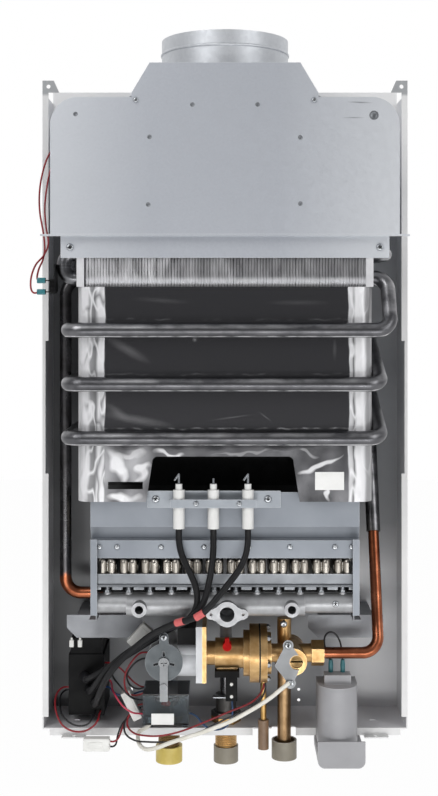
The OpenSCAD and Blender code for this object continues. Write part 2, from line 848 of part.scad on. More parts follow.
module hood_front_plate() {
    shoulder = hood_foot + plate_h;
    inner = plate_half - plate_r;
    color(galvanised)
        union() {
            sheet_xz(-hood_d, hood_t)
                union() {
                    translate([-plate_half, hood_foot])
                        square([2 * plate_half, plate_h - plate_r]);
                    translate([-inner, hood_foot])
                        square([2 * inner, plate_h]);
                    for (x = [-inner, inner])
                        translate([x, shoulder - plate_r])
                            circle(plate_r);
                }
            sheet_xz(-hood_d, hood_t)
                polygon([[-neck_half, shoulder - plate_r], [-neck_half, shoulder + 4],
                    [-hood_top_half, hood_top], [hood_top_half, hood_top], [neck_half, shoulder + 4],
                    [neck_half, shoulder - plate_r]]);
        }
}

module hood_skirt() {
    color(galvanised)
        union() {
            slab([-shelf_half, shelf_half], [-hood_d, -skirt_y], [hood_foot - shelf_t, hood_foot]);
            slab([-shelf_half, shelf_half], [-hood_d, -hood_d + hood_t],
                [hood_foot - shelf_lip_h, hood_foot]);
            slab([-skirt_half, skirt_half], [-skirt_y - hood_t, -skirt_y],
                [hood_foot - skirt_h, hood_foot]);
        }
}

module flue_collar() {
    r = collar_d / 2;
    color(galvanised)
        translate([0, -collar_y, hood_top])
            rotate_extrude()
                union() {
                    translate([r - collar_wall, 0])
                        square([collar_wall, collar_h]);
                    square_foot = collar_foot_w + collar_wall;
                    translate([r - collar_wall, 0])
                        square([square_foot, collar_wall]);
                    translate([r - collar_wall / 2, bead_z])
                        circle(bead_r);
                }
}

module draft_baffle() {
    half = hood_half - hood_t;
    low = [[-collar_y - baffle_reach, baffle_z], [-collar_y, baffle_z + baffle_rise],
        [-collar_y + baffle_reach, baffle_z]];
    high = [for (p = [low[2], low[1], low[0]]) p + [0, baffle_t]];
    color(galvanised)
        run_x(-half, half)
            polygon(concat(low, high));
}

// Screws share one node

module pan_head(p, r, h) {
    translate(p)
        rotate([90, 0, 0])
            cylinder(r = r, h = h);
}

screw_r = 3.6;
screw_h = 2.2;
small_screw_r = 2.6;
skirt_screw_x = 147;
hood_screw_x = 84;
screw_shares = [-0.94, -0.807, -0.478, -0.157, 0.18, 0.486, 0.823, 0.948];
burner_screws = [for (k = screw_shares) k * burner_half];
module sheet_screws() {
    color(bright)
        union() {
            for (x = [-skirt_screw_x, skirt_screw_x])
                pan_head([x, -skirt_y - hood_t, hood_foot - skirt_h / 2 - 1], screw_r, screw_h);
            for (x = [-hood_screw_x, hood_screw_x])
                pan_head([x, -hood_d, hood_foot + plate_h - 3], small_screw_r, screw_h);
            for (x = [electrode_left + 8, electrode_right - 12])
                pan_head([x, -electrode_front, (electrode_low + electrode_high) / 2], screw_r, screw_h);
            for (x = [-0.5, 0.75])
                pan_head([ceramic_x + x * ceramic_pitch, -clamp_back - clamp_t, clamp_z],
                    small_screw_r, screw_h);
            for (x = burner_screws)
                pan_head([x, -panel_front, panel_foot + 10.7], small_screw_r, screw_h);
            pan_head([gas_plate_x, -gas_body_front - gas_plate_t, gas_plate_z + gas_plate_r + 6],
                screw_r, screw_h);
            for (k = [0, 2])
                pan_head([rhomb_screws[k / 2][0], -casting_face - rhomb_t, rhomb_screws[k / 2][1]],
                    screw_r, screw_h);
        }
}

// Heat exchanger

fin_pitch = (2 * fin_half - fin_t) / (fin_count - 1);
spine_t = 1;
module tube_holes() {
    for (c = [[col_front, row_low], [col_front, row_high], [col_mid, row_low], [col_mid, row_high],
        [col_back, row_low]])
        rod_x([-u_x, -c[0], c[1]], tube_hole_r, 2 * u_x);
}

module fin_pack() {
    comb = [for (i = [0:fin_count - 1])
        let (x = -fin_half + i * fin_pitch)
        each [[x, -fin_back - spine_t], [x, -fin_front], [x + fin_t, -fin_front],
            [x + fin_t, -fin_back - spine_t]]];
    outline = concat(comb, [[fin_half, -fin_back], [-fin_half, -fin_back]]);
    color(bright)
        difference() {
            translate([0, 0, fin_z])
                linear_extrude(fin_h)
                    polygon(outline);
            tube_holes();
        }
}

module exchanger_end_plates() {
    color(bright)
        difference() {
            both() {
                slab([fin_half, end_x], [-skirt_y, -fin_back], [fin_z, hood_foot]);
                slab([fin_half, end_x + end_flange_w - burner_t], [-skirt_y, -skirt_y + 1],
                    [fin_z, hood_foot]);
            }
            tube_holes();
        }
}

module fin_tubes() {
    front = -col_front;
    mid = -col_mid;
    back = -col_back;
    color(tinned)
        pipe_run([[joint_x, front, row_low], [-u_x, front, row_low], [-u_x, front, row_high],
            [u_x, front, row_high], [u_x, mid, row_high], [-u_x, mid, row_high], [-u_x, mid, row_low],
            [u_x, mid, row_low], [u_x, back, row_low], [-joint_x, back, row_low]],
            tube_d, tube_d - 2 * tube_wall, u_r);
}

module shell_ring(inset) {
    translate([0, -(shell_front + fin_back) / 2])
        round_rect(2 * (shell_half - inset), shell_front - fin_back - 2 * inset, shell_r - inset);
}

module combustion_shell() {
    arc_z = window_top - window_r;
    color("dimgray")
        difference() {
            translate([0, 0, shell_z])
                linear_extrude(shell_h)
                    difference() {
                        shell_ring(0);
                        shell_ring(shell_t);
                    }
            sheet_xz(-shell_front - 1, shell_r)
                translate([window_x, 0])
                    union() {
                        polygon([[-window_half_bottom, shell_z - 1], [-window_half_top, arc_z],
                            [-window_half_top + window_r, window_top],
                            [window_half_top - window_r, window_top],
                            [window_half_top, arc_z], [window_half_bottom, shell_z - 1]]);
                        for (x = [-1, 1])
                            translate([x * (window_half_top - window_r), arc_z])
                                circle(window_r);
                    }
            slab([slot_x, slot_x + slot_w], [-shell_front - 1, -shell_front + shell_r],
                [slot_z, slot_z + slot_h]);
        }
}

// The riser leans straight from the valve axis up to the coil's back run
function riser_point(y) = [riser_x, -y,
    valve_z + (coil_z - valve_z) * (valve_y - y) / (valve_y - coil_back)];
coil_points = concat(
    [riser_point(riser_join_y), riser_point(coil_back)],
    [for (k = [0:2])
        let (z = coil_z + k * coil_pitch)
        each [[-coil_left, -coil_back, z], [-coil_left, -coil_front, z],
            [k == 2 ? coil_top_right : coil_right, -coil_front, z],
            k == 2 ? [coil_top_right, -col_front, row_low]
                : [coil_right, -coil_back, z + coil_pitch]]],
    [[joint_x, -col_front, row_low]]);

module water_coil() {
    color(tinned)
        pipe_run(coil_points, tube_d, tube_d - 2 * tube_wall, bend_r - 2);
}

module hot_pipe() {
    color(copper)
        pipe_run([[-joint_x, -col_back, row_low], [-hot_pipe_x, -col_back, row_low],
            [-hot_pipe_x, -stub_y, hot_low_z], [hot_x, -stub_y, hot_low_z], [hot_x, -stub_y, stub_top]],
            hot_d, hot_d - 2 * tube_wall, bend_r);
}

module cold_pipe() {
    color(copper)
        pipe_run([[nut_left, -valve_y, valve_z], riser_point(valve_y), riser_point(riser_join_y)],
            cold_d, cold_d - 2 * tube_wall, bend_r);
}

module overheat_thermostat() {
    face = u_x + tube_r + slip_gap;
    color(black)
        union() {
            rod_x([-face - thermostat_t, -col_front, thermostat_z], thermostat_r, thermostat_t);
            slab([-face - 1, -face], [-col_front - thermostat_r - 3, -col_front + thermostat_r + 3],
                [thermostat_z - 5, row_high - u_r]);
            for (z = [-1, 1])
                slab([-face - thermostat_t - 5, -face - thermostat_t], [-col_front - 3, -col_front + 3],
                    [thermostat_z + z * 5.5 - 0.5, thermostat_z + z * 5.5 + 0.5]);
        }
}

// Burner

module burner_front_panel() {
    f = -panel_front;
    t = burner_t;
    color("darkgray")
        run_x(-panel_half, panel_half)
            polygon([[f, panel_top], [f, panel_knee], [f + panel_in, panel_low],
                [f + panel_in, panel_low - 1], [f, panel_low - 1], [f, panel_foot], [f + t, panel_foot],
                [f + t, panel_low - 1 - t], [f + panel_in + t, panel_low - 1 - t],
                [f + panel_in + t, panel_low], [f + t, panel_knee], [f + t, panel_top]]);
}

module burner_side_plates() {
    inner = burner_half - burner_t;
    color(bright)
        both() {
            slab([inner, burner_half], [-side_front, -side_back], [side_low, panel_foot]);
            slab([inner, burner_half], [-side_front, -panel_front - slip_gap], [side_low, side_flange_top]);
            slab([burner_half - side_flange_w, burner_half], [-side_front, -side_front + burner_t],
                [side_low, side_flange_top]);
        }
}

module burner_rail() {
    half = burner_half - burner_t;
    slots = [for (i = [0:head_count - 1]) (i - (head_count - 1) / 2) * head_pitch];
    color(bright)
        union() {
            difference() {
                slab([-half, half], [-head_front - burner_t, -head_front], [rail_low, rail_top]);
                for (x = slots)
                    slab([x - rail_slot_w / 2, x + rail_slot_w / 2], [-head_front - 5, -head_front + 5],
                        [rail_low - 1, rail_low + rail_slot_h]);
            }
            rod_x([-half, -head_front - rail_roll_r, rail_low + rail_slot_h + rail_roll_r], rail_roll_r,
                2 * half);
        }
}

module burner_heads() {
    color(bright)
        for (i = [0:head_count - 1])
            translate([(i - (head_count - 1) / 2) * head_pitch, 0, 0])
                union() {
                    slab([-head_w / 2, head_w / 2], [-head_front, -head_back], [head_low, lobe_low]);
                    slab([-head_w / 2, head_w / 2], [-head_front + 9, -head_back], [lobe_low, venturi_top]);
                    slab([-head_w / 3, head_w / 3], [-panel_front + 12, -head_back], [venturi_top, port_top]);
                    for (x = [-lobe_x, lobe_x]) {
                        rod_z([x, -head_front + lobe_r + 0.4, lobe_low], lobe_r,
                            lobe_top - lobe_low - lobe_r);
                        translate([x, -head_front + lobe_r + 0.4, lobe_top - lobe_r])
                            sphere(lobe_r);
                    }
                    slab([-head_w / 3, head_w / 3], [-head_front + 5, -head_front + 10],
                        [lobe_low, lobe_top - lobe_r]);
                }
}

module manifold_shape() {
    half = burner_half - burner_t;
    rod_x([-half, -manifold_y, manifold_z], manifold_d / 2, 2 * half);
    rod_x([casting_left, -manifold_y - casting_drop, manifold_z - casting_drop],
        manifold_d / 2 + casting_wall, casting_right - casting_left);
    for (x = [boss_left, boss_right])
        rod_y([x, -boss_front, boss_z], boss_d / 2, boss_front - manifold_y);
    rod_y([port_x, -port_front, port_z], port_bore_d / 2 + 3, port_front - manifold_y);
    for (i = [0:head_count - 1])
        rod_z([(i - (head_count - 1) / 2) * head_pitch, -manifold_y, manifold_z], injector_d / 2 + 1.5,
            seat_z - manifold_z);
}

module port_flange() {
    ear_r = 6;
    sheet_xz(-port_front, port_t)
        translate([port_x, port_z])
            union() {
                circle(port_h / 2);
                for (x = [-1, 1])
                    translate([x * port_holes / 2, 0])
                        circle(port_w / 2 - port_holes / 2);
                polygon([[-port_holes / 2, -ear_r / 1.4], [0, -port_h / 2.1], [port_holes / 2, -ear_r / 1.4],
                    [port_holes / 2, ear_r / 1.4], [0, port_h / 2.1], [-port_holes / 2, ear_r / 1.4]]);
            }
}

module gas_manifold() {
    half = burner_half - burner_t;
    color(bright)
        difference() {
            union() {
                manifold_shape();
                port_flange();
            }
            rod_x([-half + 3, -manifold_y, manifold_z], manifold_d / 2 - manifold_wall, 2 * half - 6);
            for (x = [boss_left, boss_right])
                rod_y([x, -boss_front - 1, boss_z], boss_bore / 2, boss_front - manifold_y);
            rod_y([port_x, -port_front - 1, port_z], port_bore_d / 2, port_front - manifold_y + 1);
            for (x = [-1, 1])
                rod_y([port_x + x * port_holes / 2, -port_front - 1, port_z], port_hole_d / 2, port_t + 2);
            for (i = [0:head_count - 1])
                rod_z([(i - (head_count - 1) / 2) * head_pitch, -manifold_y, manifold_z], 1.2,
                    manifold_d);
        }
}

module injectors() {
    color(brass)
        for (i = [0:head_count - 1])
            translate([(i - (head_count - 1) / 2) * head_pitch, -manifold_y, seat_z])
                difference() {
                    union() {
                        cylinder(r = injector_d / 2, h = head_low - seat_z - 0.4);
                        cylinder(d = injector_d + 2, h = 2, $fn = 6);
                    }
                    translate([0, 0, -1])
                        cylinder(r = 0.6, h = 20);
                }
}

module burner_brackets() {
    t = burner_t;
    low = bracket_z;
    high = bracket_z + bracket_h;
    color("gray")
        both()
            union() {
                sheet_xz(-bracket_y, t)
                    polygon([[bracket_in + bracket_clip, low], [bracket_in, low + bracket_clip],
                        [bracket_in, high], [bracket_out, high], [bracket_out, low + bracket_clip],
                        [bracket_out - bracket_clip, low]]);
                slab([bracket_in + bracket_clip, bracket_out - bracket_clip], [-bracket_y, -case_t],
                    [high - t, high]);
                slab([burner_half, burner_half + t], [-bracket_tab_y, -bracket_y + t],
                    [high - t, side_low + 20]);
                slab([burner_half, burner_half + 8], [-bracket_tab_y, -bracket_y + t], [high - t, high]);
            }
}

// Ignition

module electrode_bracket() {
    color("gainsboro")
        slab([electrode_left, electrode_right], [-electrode_front, -electrode_back],
            [electrode_low, electrode_high]);
}

module electrode_clamp() {
    color(bright)
        union() {
            slab([ceramic_x - clamp_half, ceramic_x + clamp_half], [-clamp_back - clamp_t, -clamp_back],
                [clamp_z - clamp_h / 2, clamp_z + clamp_h / 2]);
            for (x = [-0.5, 0.5])
                rod_y([ceramic_x + x * ceramic_pitch, -clamp_back, clamp_z], clamp_post_r,
                    clamp_back - electrode_front);
        }
}

module electrode_ceramics() {
    color("white")
        for (k = [-1:1])
            translate([ceramic_x + k * ceramic_pitch, -ceramic_y, 0])
                difference() {
                    union() {
                        rod_z([0, 0, ceramic_low], ceramic_d / 2, ceramic_neck - ceramic_low);
                        rod_z([0, 0, ceramic_low], ceramic_tip_d / 2, ceramic_top - ceramic_low);
                    }
                    rod_z([0, 0, ceramic_low - 1], rod_d / 2 + run_gap, ceramic_top - ceramic_low + 2);
                }
}

rod_tip = 7;
module electrode_rods() {
    color("dimgray")
        for (k = [-1:1])
            translate([ceramic_x + k * ceramic_pitch, -ceramic_y, 0])
                union() {
                    rod_z([0, 0, ceramic_low + 2], rod_d / 2, rod_top - ceramic_low - 2 - (k == 0 ? 4 : 0));
                    if (k != 0) {
                        translate([0, 0, rod_top])
                            sphere(rod_d / 2);
                        translate([0, 0, rod_top])
                            rotate([0, -145, 0])
                                cylinder(r = rod_d / 2, h = rod_tip);
                    }
                }
}

// Gas valve

module gas_valve_body() {
    x = gas_plate_x;
    z = gas_plate_z;
    color("lightgray")
        difference() {
            union() {
                rod_y([x, -gas_body_front, z], gas_body_r, gas_body_front - gas_body_back);
                rod_y([x, -gas_body_back, z], gas_arm_r, gas_body_back - stub_y + gas_arm_r);
                rod_z([-gas_x, -stub_y, gas_stub_low], gas_stub_r, z - gas_stub_low);
                rod_x([x, -valve_y, valve_z], barrel_r, flange_left - x);
                rod_x([x, -valve_y, valve_z - gas_neck_drop], gas_neck_r, flange_left - x);
                slab([flange_left, flange_joint], [-flange_front, -flange_back], [flange_low, flange_high]);
            }
            rod_y([x, -gas_body_front - 1, z], pivot_r + run_gap, gas_body_front - pivot_back + 2);
            difference() {
                rod_y([x, -gas_body_front - 1, z], recess_r, recess_d + 1);
                rod_y([x, -gas_body_front - 2, z], plate_slot_in - 0.4, recess_d + 3);
            }
            rod_y([x, -pivot_back + 4, z], gas_way_r,
                pivot_back - 4 - stub_y + gas_way_r / 2);
            rod_z([-gas_x, -stub_y, gas_stub_low - 1], gas_way_r, z - gas_stub_low);
            rod_x([x, -valve_y, valve_z], gas_way_r - 1, flange_joint - x + 1);
        }
}

module gas_valve_plate() {
    tab = 9;
    color(galvanised)
        difference() {
            sheet_xz(-gas_body_front - gas_plate_t, gas_plate_t)
                translate([gas_plate_x, gas_plate_z])
                    union() {
                        circle(gas_plate_r);
                        translate([-tab / 2, 0])
                            square([tab, gas_plate_r + 6]);
                        translate([0, gas_plate_r + 6])
                            circle(tab / 2);
                    }
            rod_y([gas_plate_x, -gas_body_front - gas_plate_t - 1, gas_plate_z], pivot_r + slip_gap,
                gas_plate_t + 2);
            for (a = plate_slots)
                translate([gas_plate_x, -gas_body_front, gas_plate_z])
                    rotate([0, -a, 0])
                        slab([plate_slot_in, plate_slot_out], [-gas_plate_t - 1, 1],
                            [-plate_slot_w / 2, plate_slot_w / 2]);
        }
}

lever_back = gas_body_front + gas_plate_t + slip_gap;
module gas_control_lever() {
    y = -lever_back - lever_t;
    color(galvanised)
        translate([gas_plate_x, 0, gas_plate_z])
            difference() {
                union() {
                    rod_y([0, y, 0], lever_hub_r, lever_t);
                    rod_y([0, y + lever_t - eps, 0], pivot_r, lever_back - pivot_back + eps);
                    slab([-lever_w / 2, lever_w / 2], [y, y + lever_t], [-lever_l, 0]);
                    rod_y([0, y - 2, -lever_l + 14], 3.4, 2 + eps);
                }
                slab([-cross_l / 2, cross_l / 2], [y - 1, y + 2], [-cross_w / 2, cross_w / 2]);
                slab([-cross_w / 2, cross_w / 2], [y - 1, y + 2], [-cross_l / 2, cross_l / 2]);
            }
}

module solenoid_housing() {
    color("#3a3c40")
        difference() {
            slab([solenoid_left, flange_left], [-solenoid_front, -solenoid_back],
                [solenoid_low, solenoid_high]);
            rod_x([flange_left - plunger_room, -valve_y, plunger_z], plunger_r + run_gap, plunger_room + 1);
        }
}

module solenoid_plunger() {
    color("dimgray")
        rod_x([flange_left - slip_gap - plunger_l, -valve_y, plunger_z], plunger_r, plunger_l);
}

// Water valve

module water_valve_body() {
    a = [0, -valve_y, valve_z];
    color(brass)
        difference() {
            union() {
                slab([flange_joint, brass_flange_r], [-flange_front, -flange_back],
                    [flange_low, flange_high]);
                rod_x(a + [brass_flange_r, 0, 0], neck_r, neck_right - brass_flange_r);
                rod_x(a + [neck_right, 0, 0], valve_r, body_right - neck_right);
                rod_x(a + [body_right, 0, 0], step_r, step_right - body_right);
                rod_x(a + [step_right, 0, 0], diaphragm_r, housing_right - step_right);
                rod_y([bleed_x, -nipple_front, bleed_z], nipple_r, nipple_front - valve_y);
                slab([switch_left + 2, switch_right - 2], [-valve_y - 6, -valve_y + 6],
                    [switch_pad_z, valve_z]);
            }
            rod_x(a + [flange_joint - 1, 0, 0], rod_r + run_gap, housing_right - flange_joint + 2);
            rod_x(a + [chamber_left, 0, 0], chamber_r, housing_right - chamber_left + 1);
        }
}

module diaphragm() {
    color(black)
        rod_x([housing_right, -valve_y, valve_z], diaphragm_r, diaphragm_t);
}

module diaphragm_rod() {
    right = housing_right - slip_gap;
    color("silver")
        union() {
            rod_x([rod_left, -valve_y, valve_z], rod_r, right - rod_left);
            rod_x([right - disc_t, -valve_y, valve_z], disc_r, disc_t);
        }
}

module diaphragm_cover() {
    left = housing_right + diaphragm_t;
    color(brass)
        difference() {
            union() {
                rod_x([left, -valve_y, valve_z], diaphragm_r, cover_right - left);
                rod_x([cover_right, -valve_y, valve_z], cover_dome_r, cover_dome);
                rod_z([drain_x, -drain_y, drain_top], drain_boss_r, valve_z - drain_top);
            }
            rod_x([left - 1, -valve_y, valve_z], chamber_r, 4);
            rod_x([left, -valve_y, valve_z], neck_out_r - 3, 20);
            rod_z([drain_x, -drain_y, drain_top - 1], drain_tip_r + run_gap, drain_tip_l + 2);
        }
}

module bleed_cap() {
    front = -nipple_front - bleed_l;
    color("red")
        difference() {
            union() {
                rod_y([bleed_x, front, bleed_z], bleed_r, bleed_l + 4);
                slab([bleed_x - 2, bleed_x + 2], [front, front + 6], [bleed_z, bleed_z + 8]);
            }
            rod_y([bleed_x, -nipple_front, bleed_z], nipple_r + run_gap, 10);
        }
}

module microswitch() {
    color(black)
        difference() {
            union() {
                slab([switch_left, switch_right], [-switch_front, -switch_back],
                    [switch_pad_z - bracket_drop, switch_pad_z]);
                slab([block_left, block_right], [-switch_front, -switch_back - 4],
                    [block_low, switch_pad_z - bracket_drop]);
            }
            slab([block_left - 1, block_left + 1.5], [-tongue_front - slip_gap, -tongue_back + slip_gap],
                [tongue_z - 1.6, tongue_z + 1.6]);
        }
}

module microswitch_lever() {
    color(bright)
        union() {
            slab([block_left - tongue_l, block_left], [-tongue_front, -tongue_back],
                [tongue_z - tongue_t / 2, tongue_z + tongue_t / 2]);
            rod_y([block_left, -tongue_front, tongue_z], 1, tongue_front - tongue_back);
        }
}

module inlet_casting() {
    left = cover_right + cover_dome;
    color(brass)
        difference() {
            union() {
                rod_y([casting_x, -casting_face, spindle_z], casting_r, casting_face - casting_rear);
                rod_x([left, -valve_y, valve_z], neck_out_r, nut_left - left);
                rod_z([cold_x, -cold_y, column_foot], column_foot_r, valve_z - column_foot);
                rod_z([cold_x, -cold_y, valve_z], column_r, column_top - valve_z);
            }
            rod_y([spindle_x, -casting_face - 1, spindle_z], spindle_r + run_gap,
                casting_face - spindle_back + 1);
            rod_x([left - 1, -valve_y, valve_z], neck_out_r - 4.5, nut_left - left + 2);
            rod_z([cold_x, -cold_y, column_foot - 1], inlet_d / 2 - 2, valve_z - column_foot + 1);
        }
}

rhomb_screws = [[60.8, -227.5], [63, -264]];
rhomb_corners = [[47.8, -247], [60.3, -222.7], [75, -243], [63.5, -268]];
rhomb_lobe_r = 5;
module water_plate() {
    color(galvanised)
        difference() {
            union() {
                sheet_xz(-casting_face - rhomb_t, rhomb_t)
                    polygon(rhomb_corners);
                for (s = rhomb_screws)
                    rod_y([s[0], -casting_face - rhomb_t, s[1]], rhomb_lobe_r, rhomb_t);
            }
            rod_y([spindle_x, -casting_face - rhomb_t - 1, spindle_z], rhomb_hole_r, rhomb_t + 2);
            slab([spindle_x, spindle_x + casting_r], [-casting_face - rhomb_t - 1, -casting_face + 1],
                [spindle_z - rhomb_hole_r, spindle_z + rhomb_hole_r]);
        }
}

module water_spindle() {
    color("darkgoldenrod")
        difference() {
            rod_y([spindle_x, -spindle_front, spindle_z], spindle_r, spindle_front - spindle_back - slip_gap);
            slab([spindle_x - spindle_r, spindle_x + spindle_r],
                [-spindle_front - 1, -spindle_front + spindle_slot_d],
                [spindle_z - spindle_slot_w / 2, spindle_z + spindle_slot_w / 2]);
        }
}

module inlet_pipe() {
    color(brass)
        difference() {
            union() {
                rod_z([cold_x, -cold_y, cold_end], inlet_d / 2, column_foot - cold_end);
                rod_z([cold_x, -cold_y, cold_end], thread_d / 2, cold_thread_l);
            }
            rod_z([cold_x, -cold_y, cold_end - 1], inlet_d / 2 - 2, column_foot - cold_end + 2);
        }
}

module union_nut() {
    color(brass)
        difference() {
            translate([nut_left, -valve_y, valve_z])
                rotate([0, 90, 0])
                    cylinder(d = nut_across, h = nut_l, $fn = 6);
            rod_x([nut_left - 1, -valve_y, valve_z], cold_d / 2 + run_gap, nut_l + 2);
        }
}

// Connections under the bottom plate

module threaded_stub(x, top, across, hex_low, way) {
    difference() {
        union() {
            rod_z([x, -stub_y, thread_low], thread_d / 2, top - thread_low);
            translate([x, -stub_y, hex_low])
                cylinder(d = across, h = hex_h, $fn = 6);
        }
        rod_z([x, -stub_y, thread_low - 1], way / 2, top - thread_low + 2);
    }
}

module hot_outlet() {
    color(brass)
        threaded_stub(hot_x, stub_top, hex_across, floor_z, way_d);
}

module gas_inlet() {
    color("darkkhaki")
        threaded_stub(-gas_x, gas_stub_low, gas_hex_across, floor_z, way_d);
}

module pull_cap(p, d, h, bore) {
    translate([p[0], p[1], p[2] - cap_gap - cap_floor])
        difference() {
            cylinder(d = d, h = h);
            translate([0, 0, cap_floor])
                cylinder(d = bore, h = h);
        }
}

cap_bore = thread_d + 2 * cap_gap;
module gas_cap() {
    color("gold")
        pull_cap([-gas_x, -stub_y, thread_low], gas_cap_d, cap_h, cap_bore);
}

module hot_cap() {
    color(grey_plastic)
        pull_cap([hot_x, -stub_y, thread_low], cap_d, cap_h, cap_bore);
}

module cold_cap() {
    color(grey_plastic)
        pull_cap([cold_x, -cold_y, cold_end], cap_d, cold_cap_l, cap_bore);
}

module drain_plug() {
    top = drain_top - 0.1;
    low = top - drain_rod_l;
    color("tan")
        union() {
            rod_z([drain_x, -drain_y, low], drain_rod_d / 2, drain_rod_l);
            rod_z([drain_x, -drain_y, low], drain_tip_r, drain_rod_l + drain_tip_l);
            rod_z([drain_x, -drain_y, low - drain_cap_l], drain_cap_d / 2, drain_cap_l);
        }
}

// Electrics

module case_plan(r) {
    circle(r);
    translate([-r, 0])
        square([2 * r, round_y - tray_d - (battery_r - r)]);
}

module battery_case() {
    flange_half = lid_w / 2 - 0.5;
    color(grey_plastic)
        difference() {
            union() {
                translate([battery_x, -round_y, case_foot])
                    linear_extrude(battery_top - case_foot)
                        case_plan(battery_r);
                slab([lid_x - flange_half, lid_x + flange_half], [-lid_front + 3, -hinge_y],
                    [case_foot - case_flange_t, case_foot]);
                for (x = [-flange_half, flange_half - ear_w])
                    slab([lid_x + x, lid_x + x + ear_w], [-hinge_y - 4, -hinge_y + 4],
                        [hinge_z - 3.5, case_foot]);
                slab([battery_x - terminal_w / 2, battery_x + terminal_w / 2], [-round_y - 5, -round_y + 10],
                    [battery_top, battery_top + terminal_h]);
            }
            rod_z([battery_x, -round_y, case_foot - case_flange_t - 1], cell_d / 2 + 0.4,
                battery_top - battery_wall - case_foot + case_flange_t + 1);
            rod_x([lid_x - lid_w, -hinge_y, hinge_z], pin_r + run_gap, 2 * lid_w);
        }
}

module battery_lid() {
    cell_floor = battery_top - battery_wall - 1 - cell_l - slip_gap;
    color(grey_plastic)
        difference() {
            union() {
                intersection() {
                    sheet_xz(-lid_front, lid_front - hinge_y - 6)
                        translate([lid_x, (lid_rim + lid_low) / 2])
                            union() {
                                round_rect(lid_w, lid_rim - lid_low, lid_r);
                                translate([-lid_w / 2, 0])
                                    square([lid_w, (lid_rim - lid_low) / 2]);
                            }
                    run_x(lid_x - lid_w, lid_x + lid_w)
                        polygon([[-lid_front, lid_rim], [-lid_front, lid_low],
                            [-lid_front + 6, lid_low - eps], [-hinge_y, hinge_z - knuckle_r],
                            [-hinge_y, lid_top],
                            [-lid_front + lid_rim_t, lid_top], [-lid_front + lid_rim_t, lid_rim]]);
                }
                slab([lid_x - ear_inner + tongue_gap, lid_x + ear_inner - tongue_gap],
                    [-hinge_y - 8, -hinge_y], [hinge_z - knuckle_r, hinge_z]);
                rod_x([lid_x - ear_inner + tongue_gap, -hinge_y, hinge_z], knuckle_r,
                    2 * (ear_inner - tongue_gap));
                rod_x([lid_x - lid_w / 2 + 0.5, -hinge_y, hinge_z], pin_r, lid_w - 1);
            }
            rod_z([battery_x, -round_y, cell_floor], cell_d / 2 + 0.8, 20);
        }
}

module battery_cell() {
    top = battery_top - battery_wall - 1;
    color("steelblue")
        union() {
            rod_z([battery_x, -round_y, top - cell_l], cell_d / 2, cell_l);
            rod_z([battery_x, -round_y, top], 4.5, 1 - 0.05);
        }
}

module igniter_module() {
    color(black)
        union() {
            slab([igniter_x - igniter_w / 2, igniter_x + igniter_w / 2], [-igniter_front, -case_t],
                [igniter_top - igniter_h, igniter_top - igniter_step]);
            slab([igniter_x - igniter_w / 2 + 2, igniter_x + igniter_w / 2 - 2],
                [-igniter_front + 2, -case_t], [igniter_top - igniter_step, igniter_top]);
        }
}

module control_box() {
    low = box_top - box_h;
    color("lightblue", 0.4)
        difference() {
            union() {
                slab([box_x - box_w / 2, box_x + box_w / 2], [-box_front, -box_back], [low, box_top]);
                for (x = [-1, 1])
                    slab([box_x + x * (box_w / 2 - box_foot_w) - box_foot_w / 2,
                        box_x + x * (box_w / 2 - box_foot_w) + box_foot_w / 2],
                        [-tray_d, -box_back], [floor_z, low + eps]);
            }
            slab([box_x - box_w / 2 + box_wall, box_x + box_w / 2 - box_wall],
                [-box_front + box_wall, -box_back - box_wall], [low + box_wall, box_top - box_wall]);
        }
}

module control_board() {
    low = box_top - box_h + box_wall;
    half = box_w / 2 - box_wall;
    color("seagreen")
        union() {
            slab([box_x - half, box_x + half], [-board_y - board_t, -board_y], [low, low + box_h - 9]);
            slab([box_x - 12, box_x + 4], [-board_y - board_t - 9, -board_y - board_t], [low + 6, low + 18]);
            rod_y([box_x + 10, -board_y - board_t - 11, low + 14], 4, 11);
        }
}

// Wiring

module hv_leads() {
    color(black)
        for (route = LEADS)
            cord(smooth_line(route, 2), lead_d);
}

module harness_leads() {
    color("firebrick")
        for (route = WIRES)
            cord(smooth_line(route, 2), wire_d);
    color("white")
        cord(smooth_line(sleeve_route, 2), sleeve_d);
    color("white")
        translate(plug_corner)
            cube(plug_size);
}

back_panel();
left_side_panel();
right_side_panel();
bottom_plate();
flue_hood();
hood_front_plate();
hood_skirt();
flue_collar();
draft_baffle();
sheet_screws();
fin_pack();
exchanger_end_plates();
fin_tubes();
combustion_shell();
water_coil();
hot_pipe();
cold_pipe();
overheat_thermostat();
burner_front_panel();
burner_side_plates();
burner_rail();
burner_heads();
gas_manifold();
injectors();
burner_brackets();
electrode_bracket();
electrode_clamp();
electrode_ceramics();
electrode_rods();
gas_valve_body();
gas_valve_plate();
gas_control_lever();
solenoid_housing();
solenoid_plunger();
water_valve_body();
diaphragm();
diaphragm_rod();
diaphragm_cover();
bleed_cap();
microswitch();
microswitch_lever();
inlet_casting();
water_plate();
water_spindle();
inlet_pipe();
union_nut();
hot_outlet();
gas_inlet();
gas_cap();
hot_cap();
cold_cap();
drain_plug();
battery_case();
battery_lid();
battery_cell();
igniter_module();
control_box();
control_board();
hv_leads();
harness_leads();
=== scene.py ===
# %% [markdown]
# # An open tankless gas water heater
# The heater hangs on a wall with its front cover taken off. The imported model gives every plate,
# tube and valve its true place; this lesson gives them their finishes and adds the small things
# that only a look needs.

# %% Load the frame
import math

import bmesh
import bpy
from mathutils import Matrix, Vector


